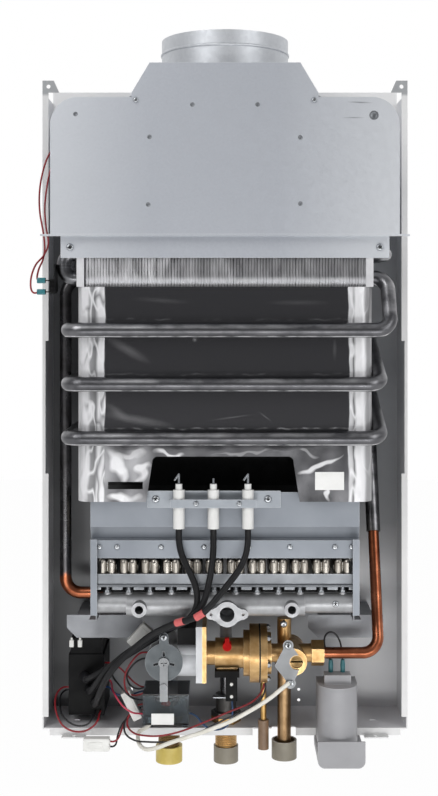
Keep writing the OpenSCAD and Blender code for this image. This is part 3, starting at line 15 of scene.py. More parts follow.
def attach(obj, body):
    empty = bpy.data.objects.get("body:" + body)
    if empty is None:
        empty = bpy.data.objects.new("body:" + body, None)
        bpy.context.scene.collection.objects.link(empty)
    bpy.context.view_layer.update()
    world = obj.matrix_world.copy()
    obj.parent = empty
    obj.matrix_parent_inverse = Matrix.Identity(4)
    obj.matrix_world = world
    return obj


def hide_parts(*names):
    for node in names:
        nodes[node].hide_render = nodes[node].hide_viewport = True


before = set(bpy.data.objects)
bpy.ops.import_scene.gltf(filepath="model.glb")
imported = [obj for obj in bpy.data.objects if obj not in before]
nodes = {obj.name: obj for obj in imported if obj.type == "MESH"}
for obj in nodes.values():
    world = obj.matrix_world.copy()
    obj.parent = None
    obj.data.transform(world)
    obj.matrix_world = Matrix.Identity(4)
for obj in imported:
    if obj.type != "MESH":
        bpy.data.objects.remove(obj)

MM = 0.001
scene = bpy.context.scene
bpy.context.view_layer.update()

# %% [markdown]
# ## Camera
# The photo is a straight product shot: upright edges stay parallel, and the eye is a little above
# the middle. Such a view comes from a level camera whose film is shifted down, which keeps the
# sides upright where a tilted camera would make them lean. The photo is 438 by 796 pixels.

# %% Place the camera
IMAGE_W, IMAGE_H = 438, 796
FOCAL_PX = 1270
EYE_PX = (225, 310)
EYE = (0, -1.345, 0.095)

lens = bpy.data.cameras.new("photo_lens")
lens.sensor_fit = "VERTICAL"
lens.sensor_height = 36
lens.lens = FOCAL_PX / IMAGE_H * lens.sensor_height
lens.shift_x = (IMAGE_W / 2 - EYE_PX[0]) / IMAGE_H
lens.shift_y = (EYE_PX[1] - IMAGE_H / 2) / IMAGE_H
lens.clip_start = 0.05
camera = bpy.data.objects.new("photo_camera", lens)
camera.location = EYE
camera.rotation_euler = (math.radians(90), 0, 0)
scene.collection.objects.link(camera)
scene.camera = camera
print("lens", round(lens.lens, 2))

# %% [markdown]
# ## Short names for shader nodes
# Light and finishes are nets of small nodes. Each tool below adds one node, or a few that belong
# together, and hands back the socket with the result. A value is a number, a socket of another
# node or a colour. Colours are written as the 0 to 255 values a picture shows, and turned into
# the linear light that shaders use.

# %% Tools for a node tree
def tone(*picture_values):
    shares = [value / 255 for value in picture_values]
    return (*(v / 12.92 if v <= 0.04045 else ((v + 0.055) / 1.055) ** 2.4 for v in shares), 1.0)


class Wiring:
    """Adds nodes to one tree."""

    def __init__(self, tree):
        self.tree = tree

    def put(self, socket, value):
        if isinstance(value, bpy.types.NodeSocket):
            self.tree.links.new(value, socket)
        elif socket.type == "RGBA" and len(value) == 3:
            socket.default_value = tone(*value)
        else:
            socket.default_value = value

    def add(self, kind, values=(), **settings):
        made = self.tree.nodes.new("ShaderNode" + kind)
        for key, setting in settings.items():
            setattr(made, key, setting)
        for key, value in dict(values).items():
            self.put(made.inputs[key], value)
        return made.outputs

    def calc(self, kind, *values):
        return self.add("Math", enumerate(values), operation=kind)[0]

    def plus(self, a, b):
        return self.calc("ADD", a, b)

    def times(self, first, *others):
        for other in others:
            first = self.calc("MULTIPLY", first, other)
        return first

    def away(self, value, centre):
        """How far a value is from a centre, on either side."""
        return self.calc("ABSOLUTE", self.plus(value, -centre))

    def rise(self, value, low, high):
        """0 at low, 1 at high and an even slope between them."""
        return self.add("MapRange", {"Value": value, "From Min": low, "From Max": high})["Result"]

    def span(self, value, low, high):
        """A mask of 0 to 1 turned into low to high."""
        return self.add("MapRange", {"Value": value, "To Min": low, "To Max": high})["Result"]

    def mix(self, a, b, factor):
        return self.add("Mix", {0: factor, 6: a, 7: b}, data_type="RGBA")[2]

    def ramp(self, value, stops):
        fade = self.add("ValToRGB", {"Fac": value})["Color"]
        steps = fade.node.color_ramp.elements
        (steps[0].position, steps[0].color), (steps[1].position, steps[1].color) = stops[0], stops[-1]
        for at, colour in stops[1:-1]:
            steps.new(at).color = colour
        return fade

    def axes(self, vector):
        return list(self.add("SeparateXYZ", {0: vector}))

    def stretched(self, vector, by):
        return self.add("VectorMath", {0: vector, 1: by}, operation="MULTIPLY")[0]

    def noise(self, vector, scale, detail, result="Fac"):
        values = {"Vector": vector, "Scale": scale, "Detail": detail, "Roughness": 0.55}
        return self.add("TexNoise", values)[result]

    def bent(self, vector, scale, detail, reach):
        """A place pushed about by noise, in each direction as far as reach says."""
        push = self.noise(vector, scale, detail, "Color")
        return self.add("VectorMath", {0: push, 1: reach, 2: vector}, operation="MULTIPLY_ADD")[0]


print("node tools ready")

# %% [markdown]
# ## Light
# A cut-out photo has a white surround. The world is white behind the heater and greyer in front
# of it, so bright sheet metal mirrors soft steps of grey and not one flat white. Three large
# lamps stand in for studio soft boxes.

# %% World and lamps
scene.view_settings.view_transform = "Standard"
SURROUND = [(0.0, (0.12, 0.12, 0.124, 1)), (0.42, (0.42, 0.42, 0.43, 1)), (0.72, (1, 1, 1, 1))]
SOFT_BOXES = {  # place, aimed at, size, watts
    "key_box": ((-1.0, -1.5, 1.2), (0, 0, 0.05), (1.0, 1.4), 16.5),
    "fill_box": ((1.3, -1.4, 0.6), (0, 0, 0), (0.8, 1.4), 9.5),
    "low_box": ((0.1, -1.2, -0.52), (0, 0, -0.25), (1.2, 0.18), 4),
}
world = scene.world = bpy.data.worlds.new("studio_surround")
world.use_nodes = True
sky = Wiring(world.node_tree)
depth = sky.rise(sky.axes(sky.add("TexCoord")["Generated"])[1], -1, 1)
sky.put(sky.tree.nodes["Background"].inputs["Color"], sky.ramp(depth, SURROUND))
for name, (at, to, size, watts) in SOFT_BOXES.items():
    lamp = bpy.data.lights.new(name, "AREA")
    lamp.shape = "RECTANGLE"
    lamp.size, lamp.size_y = size
    lamp.energy = watts
    obj = bpy.data.objects.new(name, lamp)
    obj.location = at
    obj.rotation_euler = (Vector(to) - Vector(at)).to_track_quat("-Z", "Y").to_euler()
    scene.collection.objects.link(obj)
print("lamps", list(SOFT_BOXES))

# %% [markdown]
# ## Floor
# A pale floor lies under the heater. The camera, mirrors and glass see it almost white, as the
# surround of the photo is, while it still takes a faint shadow and sends only plain light back.

# %% Pale floor
FLOOR_Z = -0.62
WHITE_SHARE = 0.97
bm = bmesh.new()
bmesh.ops.create_grid(bm, x_segments=8, y_segments=8, size=4, matrix=Matrix.Translation((0, 0, FLOOR_Z)))
mesh = bpy.data.meshes.new("pale_floor")
bm.to_mesh(mesh)
bm.free()
floor = bpy.data.objects.new("pale_floor", mesh)
scene.collection.objects.link(floor)
look = bpy.data.materials.new("pale_floor")
look.use_nodes = True
ground = Wiring(look.node_tree)
pale = ground.tree.nodes["Principled BSDF"]
pale.inputs["Base Color"].default_value = (0.86, 0.86, 0.86, 1)
pale.inputs["Roughness"].default_value = 0.9
ray = ground.add("LightPath")
seen = ray["Is Camera Ray"]
for other in ("Is Glossy Ray", "Is Transmission Ray"):
    seen = ground.calc("MAXIMUM", seen, ray[other])
white = ground.add("Emission", {"Strength": 1})[0]
blend = ground.add("MixShader", {0: ground.times(seen, WHITE_SHARE), 1: pale.outputs[0], 2: white})
ground.put(ground.tree.nodes["Material Output"].inputs["Surface"], blend[0])
mesh.materials.append(look)
print("stage ready, floor at", FLOOR_Z)

# %% [markdown]
# ## Shared surface effects
# Sheet steel, castings and mouldings differ in colour, but they share a few effects: slow blotches,
# the fine lines of rolling or brushing, zinc crystals, crumpled foil and lighter worn edges. Each
# is a node group with named sockets, made once and placed in every finish with its own values.

# %% Node groups for the finishes
class Effect(Wiring):
    """A node group with one result. Each input is given with its usual value."""

    def __init__(self, name, result, **inputs):
        super().__init__(bpy.data.node_groups.new(name, "ShaderNodeTree"))
        sockets = self.tree.interface
        for label, usual in inputs.items():
            kind = "NodeSocketFloat" if isinstance(usual, float) else "NodeSocketVector"
            socket = sockets.new_socket(name=label, in_out="INPUT", socket_type=kind)
            if usual is not None:
                socket.default_value = usual
        sockets.new_socket(name=result, in_out="OUTPUT", socket_type="NodeSocketFloat")
        self.given = self.tree.nodes.new("NodeGroupInput").outputs
        self.result = self.tree.nodes.new("NodeGroupOutput").inputs[0]

    def give(self, value):
        self.put(self.result, value)


blotches = Effect("surface_blotches", "Blotch", Vector=None, Scale=40.0)
cloud = blotches.noise(blotches.given["Vector"], blotches.given["Scale"], 4)
blotches.give(blotches.rise(cloud, 0.3, 0.7))

rolled = Effect("rolled_lines", "Height", Vector=None, Stretch=(1, 1, 1))
longer = rolled.stretched(rolled.given["Vector"], rolled.given["Stretch"])
rolled.give(rolled.noise(longer, 900, 2))

spangle = Effect("zinc_crystals", "Crystal", Vector=None, Scale=260.0)
uneven = spangle.bent(spangle.given["Vector"], 160, 2, (0.004, 0.004, 0.004))
cells = spangle.add("TexVoronoi", {"Vector": uneven, "Scale": spangle.given["Scale"]})["Color"]
spangle.give(spangle.add("SeparateColor", {0: cells})[0])

foil = Effect("crumpled_foil", "Height", Vector=None, Scale=60.0)
warp = foil.bent(foil.given["Vector"], 30, 3, (0.02, 0.02, 0.02))
folds = foil.add("TexVoronoi", {"Scale": foil.given["Scale"], "Vector": warp}, feature="DISTANCE_TO_EDGE")
soft = foil.noise(foil.given["Vector"], 90, 5)
foil.give(foil.plus(folds["Distance"], soft))

worn = Effect("worn_edges", "Mask", Width=0.0008, Amount=1.0)
rounded = worn.add("Bevel", {"Radius": worn.given["Width"]}, samples=4)["Normal"]
plain = worn.add("NewGeometry")["Normal"]
agree = worn.add("VectorMath", {0: rounded, 1: plain}, operation="DOT_PRODUCT")["Value"]
worn.give(worn.times(worn.rise(agree, 0.995, 0.8), worn.given["Amount"]))
print("effects", [g.name for g in bpy.data.node_groups])

# %% [markdown]
# ## Finishes
# A finish starts from one measured-looking colour and a darker neighbour of it; the blotches move
# between the two, the edges go a little lighter, and a small bump carries the grain.

# %% A maker for everyday finishes
LOOK = {}


class Paint(Wiring):
    """One material: its Principled surface, and the place of each point on the object."""

    def __init__(self, name, **constants):
        LOOK[name] = made = bpy.data.materials.new(name)
        made.use_nodes = True
        super().__init__(made.node_tree)
        self.skin = self.tree.nodes["Principled BSDF"].inputs
        self.where = self.add("TexCoord")["Object"]
        self.set(**constants)

    def set(self, **values):
        for label, value in values.items():
            self.put(self.skin[label.replace("_", " ")], value)

    def effect(self, group, **values):
        if "Vector" in group.given:
            values = {"Vector": self.where, **values}
        return self.add("Group", values, node_tree=group.tree)[0]

    def edged(self, colour, edge, width=0.0008, amount=0.8):
        return self.mix(colour, edge, self.effect(worn, Width=width, Amount=amount))

    def relief(self, height, strength, distance):
        values = {"Height": height, "Strength": strength, "Distance": distance}
        self.set(Normal=self.add("Bump", values)["Normal"])

    def grain(self, stretch, strength, depth=0.0004):
        self.relief(self.effect(rolled, Stretch=stretch), strength, depth)


def finish(name, base, shade, rough, metal=0.0, scale=40.0, grain=(1, 1, 1), relief=0.1, edge=None,
           coat=0.0, gloss=0.5):
    p = Paint(name, Metallic=metal, Coat_Weight=coat, Specular_IOR_Level=gloss)
    patch = p.effect(blotches, Scale=scale)
    colour = p.mix(base, shade, patch)
    if edge:
        colour = p.edged(colour, edge)
    p.set(Base_Color=colour, Roughness=p.span(patch, *rough))
    p.grain(grain, relief)


print("maker ready")

# %% Metals
LENGTHWAYS = (0.06, 1, 1)
finish("bright_steel", (188, 191, 194), (156, 160, 164), (0.22, 0.36), metal=0.9, grain=(0.15, 1, 1),
       relief=0.08, edge=(222, 224, 226))
finish("pressed_steel", (162, 167, 173), (148, 153, 159), (0.36, 0.46), metal=0.8, grain=LENGTHWAYS,
       relief=0.08, edge=(210, 213, 216))
finish("rail_steel", (130, 133, 137), (114, 117, 121), (0.34, 0.44), metal=0.85, grain=LENGTHWAYS,
       relief=0.08, edge=(196, 199, 202))
finish("grey_steel", (143, 148, 155), (133, 138, 145), (0.42, 0.5), metal=0.6, scale=16, grain=LENGTHWAYS,
       relief=0.05, edge=(190, 194, 198))
finish("dark_steel", (152, 154, 158), (138, 140, 144), (0.45, 0.55), metal=0.5, relief=0.08,
       edge=(150, 152, 156))
# Painted shade: a near black steel for the strip that stands for the shaded gap under the burners.
finish("shade_dark_steel", (50, 50, 52), (36, 36, 38), (0.5, 0.6), metal=0.4, scale=90)
finish("plate_grey", (140, 142, 144), (128, 130, 132), (0.42, 0.52), metal=0.55, scale=50,
       edge=(190, 192, 194))
finish("polished_barrel", (184, 179, 171), (144, 139, 131), (0.24, 0.34), metal=1, scale=60, relief=0.05,
       edge=(224, 222, 218))
finish("cast_metal", (178, 179, 181), (156, 157, 159), (0.4, 0.5), metal=0.75, scale=90, relief=0.35,
       edge=(202, 203, 204))
finish("matt_cast", (102, 107, 110), (94, 99, 102), (0.5, 0.6), metal=0.6, scale=120, relief=0.3,
       edge=(164, 166, 168))
finish("valve_cast", (222, 224, 227), (208, 210, 213), (0.5, 0.6), metal=0.1, scale=70, relief=0.2,
       edge=(204, 206, 208))
finish("brass", (214, 178, 126), (180, 142, 92), (0.32, 0.44), metal=0.95, scale=110, relief=0.2,
       edge=(244, 220, 170))
finish("dull_brass", (162, 134, 100), (126, 100, 70), (0.3, 0.42), metal=0.95, scale=120, grain=(1, 1, 0.1),
       relief=0.15, edge=(214, 186, 140))
finish("old_brass", (140, 114, 76), (100, 80, 52), (0.34, 0.5), metal=1, scale=140, relief=0.25,
       edge=(196, 166, 116))
finish("tin", (150, 151, 154), (84, 84, 87), (0.2, 0.38), metal=1, scale=55, relief=0.14, edge=(212, 212, 216))
finish("pale_tin", (222, 222, 224), (198, 198, 201), (0.4, 0.5), metal=0.25, scale=70, relief=0.15)
print("metals", len(LOOK))

# %% Mouldings, rubber and paper
finish("black_mould", (7, 7, 8), (5, 5, 6), (0.4, 0.52), scale=70, relief=0.12, edge=(34, 34, 37), gloss=0.12)
finish("black_rubber", (24, 24, 26), (17, 17, 19), (0.42, 0.54), scale=60, relief=0.15, gloss=0.25)
finish("dark_boot", (34, 34, 37), (24, 24, 27), (0.34, 0.46), scale=80, edge=(78, 78, 82), gloss=0.35)
finish("grey_mould", (157, 157, 160), (150, 150, 153), (0.38, 0.48), scale=30, edge=(194, 194, 196))
finish("cap_grey", (140, 134, 119), (128, 122, 109), (0.4, 0.5), scale=60, edge=(180, 177, 169))
finish("cap_yellow", (214, 194, 108), (198, 176, 84), (0.34, 0.44), scale=60, relief=0.08, edge=(236, 224, 164))
finish("red_mould", (180, 12, 8), (150, 8, 6), (0.34, 0.44), scale=120, relief=0.06, edge=(204, 40, 30), gloss=0.06)
finish("white_mould", (236, 236, 232), (224, 224, 220), (0.32, 0.42), scale=60, relief=0.06)
finish("ceramic", (228, 228, 226), (218, 218, 216), (0.16, 0.24), scale=60, relief=0.03, coat=0.4)
finish("teal_mould", (52, 122, 130), (38, 98, 106), (0.34, 0.46), scale=120, relief=0.08)
finish("pink_band", (216, 108, 106), (196, 88, 88), (0.4, 0.5), scale=140)
finish("blue_jacket", (84, 104, 140), (70, 90, 124), (0.3, 0.4), scale=60, relief=0.05)
finish("green_board", (38, 56, 58), (24, 40, 44), (0.3, 0.4), scale=300, relief=0.12)
finish("paper", (238, 238, 236), (230, 230, 228), (0.6, 0.7), scale=80, relief=0.05)
finish("white_sleeve", (232, 230, 222), (216, 213, 200), (0.36, 0.48), scale=60, relief=0.08)
for name, base, shade in (("red_wire", (150, 28, 38), (122, 20, 28)), ("black_wire", (30, 28, 32), (20, 20, 22)),
                          ("blue_wire", (40, 74, 116), (30, 56, 92)), ("pink_wire", (196, 58, 84), (166, 42, 66)),
                          ("coil_wire", (18, 18, 20), (12, 12, 14))):
    finish(name, base, shade, (0.34, 0.46), scale=220, relief=0.05)
print("everyday finishes", len(LOOK))

# %% [markdown]
# ## Galvanised sheet
# The hood is zinc coated steel. Zinc freezes into small crystals that mirror a little differently,
# which a cell pattern gives; over it lies the faint cloudiness of a sheet that has been handled.
# The front plate also has a few dark scratches, which are long and thin oval patches. Towards both
# sides the colour is painted lighter, a painted sheen.

# %% Zinc finish
SHEET_Y, ANY_DEPTH = -140, 400


def gleam(p, where, at, size, turn):
    """A soft oval patch on the front, given in millimetres and degrees."""
    values = {"Vector": where, "Location": Vector((at[0], SHEET_Y, at[1])) * MM,
              "Rotation": (0, math.radians(turn), 0), "Scale": Vector((size[0], ANY_DEPTH, size[1])) * MM}
    local = p.add("Mapping", values, vector_type="TEXTURE")[0]
    return p.add("TexGradient", {"Vector": local}, gradient_type="SPHERICAL")["Fac"]


def zinc_finish(name, base, shade, crystals, scratches=()):
    p = Paint(name, Metallic=0.6)
    flake = p.effect(spangle, Scale=crystals)
    colour = p.mix(base, shade, p.span(flake, 0.0, 0.35))
    colour = p.mix(colour, shade, p.span(p.effect(blotches, Scale=14.0), 0.0, 0.15))
    x = p.axes(p.where)[0]
    # Painted sheen: the colour goes lighter towards both sides.
    painted_side_sheen = p.plus(p.span(p.rise(x, 0.05, 0.165), 0, 0.9), p.span(p.rise(x, -0.07, -0.165), 0, 0.6))
    colour = p.mix(colour, (218, 221, 225), painted_side_sheen)
    for at, size, turn in scratches:
        colour = p.mix(colour, (92, 94, 98), p.times(gleam(p, p.where, at, size, turn), 0.8))
    p.set(Base_Color=p.edged(colour, (222, 225, 229), 0.001, 0.7), Roughness=p.span(flake, 0.44, 0.5))
    p.grain((0.08, 1, 1), 0.05, 0.0003)


SCRATCHES = [((127, 290.4), (13, 0.9), 2), ((121, 276.0), (12, 0.6), 0), ((-153, 163.5), (5, 1.1), 0),
             ((156, 163), (6, 1.3), 0)]
for name, marks in (("zinc", ()), ("plate_zinc", SCRATCHES)):
    zinc_finish(name, (190, 194, 201), (178, 182, 190), 420.0, marks)
zinc_finish("bright_zinc", (204, 207, 211), (184, 187, 192), 300.0)
print("zinc, with", len(SCRATCHES), "scratches")

# %% [markdown]
# ## Case sheet
# The case is white outside and on its front flanges. Its inner faces take a second colour, which on
# the back panel is a grey that paints in the shade inside the case. One finish can serve both: the
# place of a point tells whether it lies on the front flange, on the outer side or inside, so the two
# paints meet along a clean fold. The cover ears at the top are painted grey for the shade they lie
# in. The front of the back panel carries more painted light and shade: darker towards the left, a
# painted pool of light low on the right, a painted bright strip along the top, and a near black
# band of painted shade behind the burner.

# %% Two-sided case paint
def case_finish(name, flange_y, outer_x, inner, inner_shade, shade_band_z=None):
    p = Paint(name)
    x, y, z = p.axes(p.where)
    far = p.calc("ABSOLUTE", x)
    within = p.times(p.calc("GREATER_THAN", y, flange_y), p.calc("LESS_THAN", far, outer_x))
    patch = p.effect(blotches, Scale=9.0)
    # Painted shade: the cover ears at the top are painted grey for the shade they lie in.
    painted_ear_shade = p.times(p.rise(z, 0.309, 0.312), p.calc("LESS_THAN", y, -0.071))
    outside = p.mix(p.mix((226, 226, 225), (219, 219, 219), patch), (164, 166, 168), painted_ear_shade)
    inside = p.mix(inner, inner_shade, patch)
    # Painted light and shade on the front of the back panel: darker towards the left, a painted pool of light low on
    # the right, a painted bright strip along the top, and a near black band of painted shade behind the burner.
    if shade_band_z:
        low, high = shade_band_z
        front = p.calc("LESS_THAN", y, -0.0003)
        painted_shade_band = p.times(p.rise(z, high + 0.01, high), p.rise(z, low, low + 0.02), p.rise(far, 0.13, 0.122))
        lit_corner = p.times(p.rise(x, 0.1, 0.14), p.rise(z, -0.13, -0.18))
        for colour, mask in (((118, 119, 121), p.rise(x, -0.11, -0.15)), ((242, 243, 245), lit_corner),
                             ((244, 244, 244), p.rise(z, 0.27, 0.3)), ((34, 34, 36), painted_shade_band)):
            inside = p.mix(inside, colour, p.times(mask, front))
    colour = p.edged(p.mix(outside, inside, within), (228, 228, 228), amount=0.6)
    p.set(Base_Color=colour, Roughness=p.span(patch, 0.34, 0.46))
    p.grain((1, 1, 0.1), 0.05, 0.0003)


ANYWHERE = 0.5
case_finish("case_side", -0.0714, 0.1826, (228, 229, 231), (220, 221, 224))
# On the back panel the inner colour is painted shade: a grey for the same sheet that is white outside.
case_finish("case_back", -ANYWHERE, ANYWHERE, (170, 172, 175), (156, 158, 162), shade_band_z=(-0.19, -0.08))
case_finish("case_floor", -0.0705, ANYWHERE, (228, 227, 229), (216, 215, 218))
print("finishes", len(LOOK))

# %% [markdown]
# ## Tinned copper
# The chamber is copper sheet dipped in tin. Its flat middle is smooth and mirrors the dark side of
# the room. At both sides the sheet was folded round the corner into upright strips, and below the
# coil it is crumpled like foil round the window. Their light and shade is painted: a ramp over the
# width gives painted bright and dark strips, noise makes their edges wander, darker veins paint the
# shade in the folds, and soft oval patches give painted highlights on the creases, a few painted
# gleams in the middle and thin painted highlight bands. The inside of the chamber is painted near
# black for its shade. The fins and the coil went through the same bath; they too carry painted
# light and shade, and the tube a thin painted reflection along its underside.

# %% Masks for tin
VEIN_WIDTH = 0.1
# The near white tone towards which painted highlights are mixed.
GLEAM_TONE = (238, 238, 240)


def wandering(p, stretch, scale, reach, detail=3):
    """Noise between -reach and +reach, longer in some directions than in others."""
    cloud = p.noise(p.stretched(p.where, stretch), scale, detail)
    return p.times(p.plus(cloud, -0.5), 2 * reach)


def veins(p, stretch, scale):
    """Thin wandering lines: 1 on a line and 0 away from it."""
    return p.rise(p.calc("ABSOLUTE", wandering(p, stretch, scale, 1.0, 1)), VEIN_WIDTH, 0.0)


# Paints a highlight: mixes a colour towards the gleam tone where the mask is.
def lit_up(p, colour, mask, strength):
    return p.mix(colour, GLEAM_TONE, p.times(mask, strength))


def greys(stops):
    return [(at, tone(v, v, v + 2)) for at, v in stops]


print("gleam tone", GLEAM_TONE)

# %% Tinned shell
# Painted light: the bright and dark upright strips over the folded sides.
PAINTED_STRIP_TONES = [(0.0, 140), (0.02, 172), (0.034, 228), (0.052, 220), (0.058, 150), (0.076, 120), (0.086, 228),
          (0.106, 236), (0.109, 120), (0.898, 120), (0.902, 214), (0.917, 204), (0.922, 84), (0.929, 236),
          (0.955, 226), (0.963, 160), (0.99, 146)]
# Painted gleams and crease highlights: middle (x, z), half size, turn, strength. Painted highlight
# bands: height, strength.
GLEAMS = [((-92, 57), (26, 5.5), 30, 0.3), ((-84, -9), (38, 5), 10, 0.3), ((-102, -2), (16, 5), 35, 0.26),
          ((-28.7, 66.8), (2.6, 2.6), 0, 0.8), ((6, -7), (22, 1.1), -8, 0.22), ((38, -6), (9, 1.0), 38, 0.26),
          ((104, 58), (2.2, 11), 0, 0.2), ((-60, 104), (30, 3), 4, 0.14), ((70, 102), (34, 3), 0, 0.12)]
CREASE_HIGHLIGHTS = [((-101, -54), (9, 18), -24, 1.0), ((-98, -83), (18, 7), 4, 0.9), ((-75, -57), (6, 13), 34, 0.8),
           ((-88, -42), (16, 4), -12, 0.5), ((90, -52), (27, 3.4), -18, 0.8), ((97, -80), (2, 8), 0, 0.8),
           ((78, -40), (12, 3), 8, 0.35), ((-51, -40.6), (17, 3), 4, 0.9), ((20, -41), (34, 2.2), -3, 0.3)]
HIGHLIGHT_BANDS = [(86, 0.25), (34, 0.25), (-17.5, 0.8)]
MEAN_PUSH = 10  # millimetres by which the bending noise moves a place on average

p = Paint("tinned_shell")
x, y, z = p.axes(p.where)
wide = p.calc("ABSOLUTE", x)
across = p.plus(x, wandering(p, (1, 1, 0.3), 62, 0.0042, 2))
column = p.rise(p.away(across, 0.002), 0.1152, 0.1162)
on_front = p.span(p.rise(wide, 0.129, 0.134), 1.0, 0.25)
# Painted shade in the folds: darker wandering veins. Other veins get painted highlights.
painted_fold_shade = p.times(veins(p, (1, 1, 0.34), 58), p.rise(x, 0.03, -0.03), on_front, 0.75)
strips = p.mix(p.ramp(p.rise(across, -0.145, 0.145), greys(PAINTED_STRIP_TONES)), (96, 96, 99), painted_fold_shade)
strips = lit_up(p, strips, p.times(veins(p, (1, 1, 0.3), 86), on_front), 0.9)
low_side = p.rise(p.plus(z, wandering(p, (1, 1, 1), 40, 0.008, 1)), -0.03, -0.036)
# Painted light and shade on the crumpled foil: lighter and darker patches, lighter on the left, and painted
# highlights along the creases.
foil_light_patches = p.rise(wandering(p, (1, 1, 0.8), 42, 1.0, 1), -0.3, 0.35)
left = p.rise(x, -0.055, -0.085)
foil_light_and_shade = p.mix(p.mix((66, 66, 69), (108, 108, 111), left), p.mix((122, 122, 125), (176, 176, 179), left),
                foil_light_patches)
pushed = p.bent(p.where, 60, 1, (0.02, 0, 0.02))
for (at_x, at_z), size, turn, strength in CREASE_HIGHLIGHTS:
    oval = gleam(p, pushed, (at_x + MEAN_PUSH, at_z + MEAN_PUSH), size, turn)
    foil_light_and_shade = lit_up(p, foil_light_and_shade, p.rise(oval, 0.02, 0.5), strength)
middle = (96, 96, 99)
# Painted highlights: gleams in the smooth middle and thin broken bands.
for at, size, turn, strength in GLEAMS:
    middle = lit_up(p, middle, gleam(p, p.where, at, size, turn), strength)
for height, strength in HIGHLIGHT_BANDS:
    off = p.away(p.plus(z, wandering(p, (1, 0, 0), 60, 0.0035)), height * MM)
    broken = p.rise(wandering(p, (1, 0, 0.2), 95, 1.0), -0.1, 0.35)
    middle = lit_up(p, middle, p.times(p.rise(off, 0.0011, 0.0002), broken), strength)
colour = p.mix(p.mix(middle, foil_light_and_shade, low_side), strips, column)
# Painted shade: the inside of the chamber is painted near black.
inner = p.times(p.calc("GREATER_THAN", y, -0.1385), p.calc("LESS_THAN", wide, 0.132))
folded = p.calc("MAXIMUM", column, low_side)
dull = p.calc("MAXIMUM", folded, inner)
p.set(Base_Color=p.mix(colour, (22, 22, 23), inner), Metallic=p.span(dull, 0.85, 0.22),
      Roughness=p.span(dull, 0.18, 0.32))
crumple = p.effect(foil, Scale=40.0, Vector=p.stretched(p.where, (1, 1, 0.45)))
p.relief(p.times(crumple, p.span(folded, 0.004, 1.0)), 0.45, 0.002)
print("gleams", len(GLEAMS), "creases", len(CREASE_HIGHLIGHTS))

# %% Tinned fins and tube
p = Paint("tinned_fin", Metallic=0.35)
x, _, z = p.axes(p.where)
# Painted light and shade: lighter towards the left of the fin pack, darker streaks of painted shade, and a painted
# highlight along the folded foot.
uneven = p.plus(x, wandering(p, (1, 1, 1), 26, 0.02))
fade = greys([(0.0, 222), (0.27, 238), (0.31, 196), (0.6, 178), (1.0, 164)])
painted_streak_shade = p.rise(wandering(p, (1, 1, 0.3), 110, 1.0), -0.35, 0.35)
shaded = p.mix((84, 84, 87), p.ramp(p.rise(uneven, -0.135, 0.135), fade), p.span(painted_streak_shade, 0.4, 1.0))
painted_foot_highlight = p.times(p.rise(z, 0.127, 0.1235), 0.75)
p.set(Base_Color=p.mix(shaded, (228, 228, 231), painted_foot_highlight), Roughness=p.span(painted_streak_shade, 0.26, 0.4))
p.relief(p.effect(foil, Scale=90.0), 0.3, 0.001)

p = Paint("tinned_tube", Metallic=1.0)
patch = p.effect(blotches, Scale=48.0)
# Painted reflection: a thin bright line along the underside of the tube, and a broken painted highlight along its
# top.
up = p.axes(p.add("TexCoord")["Normal"])[2]
broken = p.rise(wandering(p, (1, 1, 0), 80, 1.0), -0.5, 0.1)
painted_underside_line = p.times(p.rise(p.away(up, -0.84), 0.11, 0.03), broken)
painted_top_highlight = p.rise(p.away(up, 0.5), 0.42, 0.12)
spots = p.rise(wandering(p, (0.5, 0.5, 1), 70, 1.0), -0.3, 0.4)
body = lit_up(p, p.mix((110, 110, 113), (80, 80, 83), patch), p.times(painted_top_highlight, spots), 0.42)
p.set(Base_Color=lit_up(p, body, painted_underside_line, 0.85), Metallic=p.span(painted_underside_line, 1.0, 0.2),
      Roughness=p.span(patch, 0.3, 0.42))
p.grain((0.3, 1, 1), 0.12)
print("finishes", len(LOOK))

# %% [markdown]
# ## Finishes that change with height
# The lower ends of the two pipes are bare copper that has gone brown in places, while their upper
# ends were dipped in tin; the height of a point tells which. The hot outlet and the drain screw
# change at a height too. The control box is clear plastic with a dark lid.

# %% Copper pipes, two-tone brass and clear box
for name, tin_above, tin_from in (("left_copper", -0.171, -0.118), ("right_copper", -0.118, 1.0)):
    p = Paint(name, Metallic=1.0)
    x, _, z = p.axes(p.where)
    patch = p.effect(blotches, Scale=46.0)
    height = p.calc("MULTIPLY_ADD", patch, 0.012, z)
    beyond = p.rise(x, tin_from, tin_from + 0.004)
    dipped = p.calc("MAXIMUM", p.rise(height, tin_above, tin_above + 0.006), beyond)
    sleeve = p.times(p.rise(z, -0.188, -0.196), p.rise(z, -0.241, -0.233), beyond)
    bare = p.mix((196, 122, 88), (122, 66, 44), patch)
    tin = p.mix(p.mix((112, 111, 113), (58, 56, 57), patch), (176, 177, 180), sleeve)
    p.set(Base_Color=p.mix(bare, tin, dipped), Metallic=p.span(sleeve, 1.0, 0.2),
          Roughness=p.span(patch, 0.22, 0.4))
    p.grain((1, 1, 0.2), 0.12)

for name, low_tones, high_tones, height, metal in (
        ("drain_screw", ((136, 108, 82), (114, 90, 68)), ((190, 156, 100), (150, 116, 68)), -0.3121, (0.0, 1.0)),
        ("outlet_brass", ((196, 156, 96), (160, 120, 70)), ((74, 72, 70), (54, 52, 50)), -0.318, (0.9, 0.6))):
    p = Paint(name, Roughness=0.36)
    above = p.calc("GREATER_THAN", p.axes(p.where)[2], height)
    patch = p.effect(blotches, Scale=120.0)
    p.set(Base_Color=p.mix(p.mix(*low_tones, patch), p.mix(*high_tones, patch), above),
          Metallic=p.span(above, *metal))
    p.grain((1, 1, 0.05), 0.5, 0.0005)

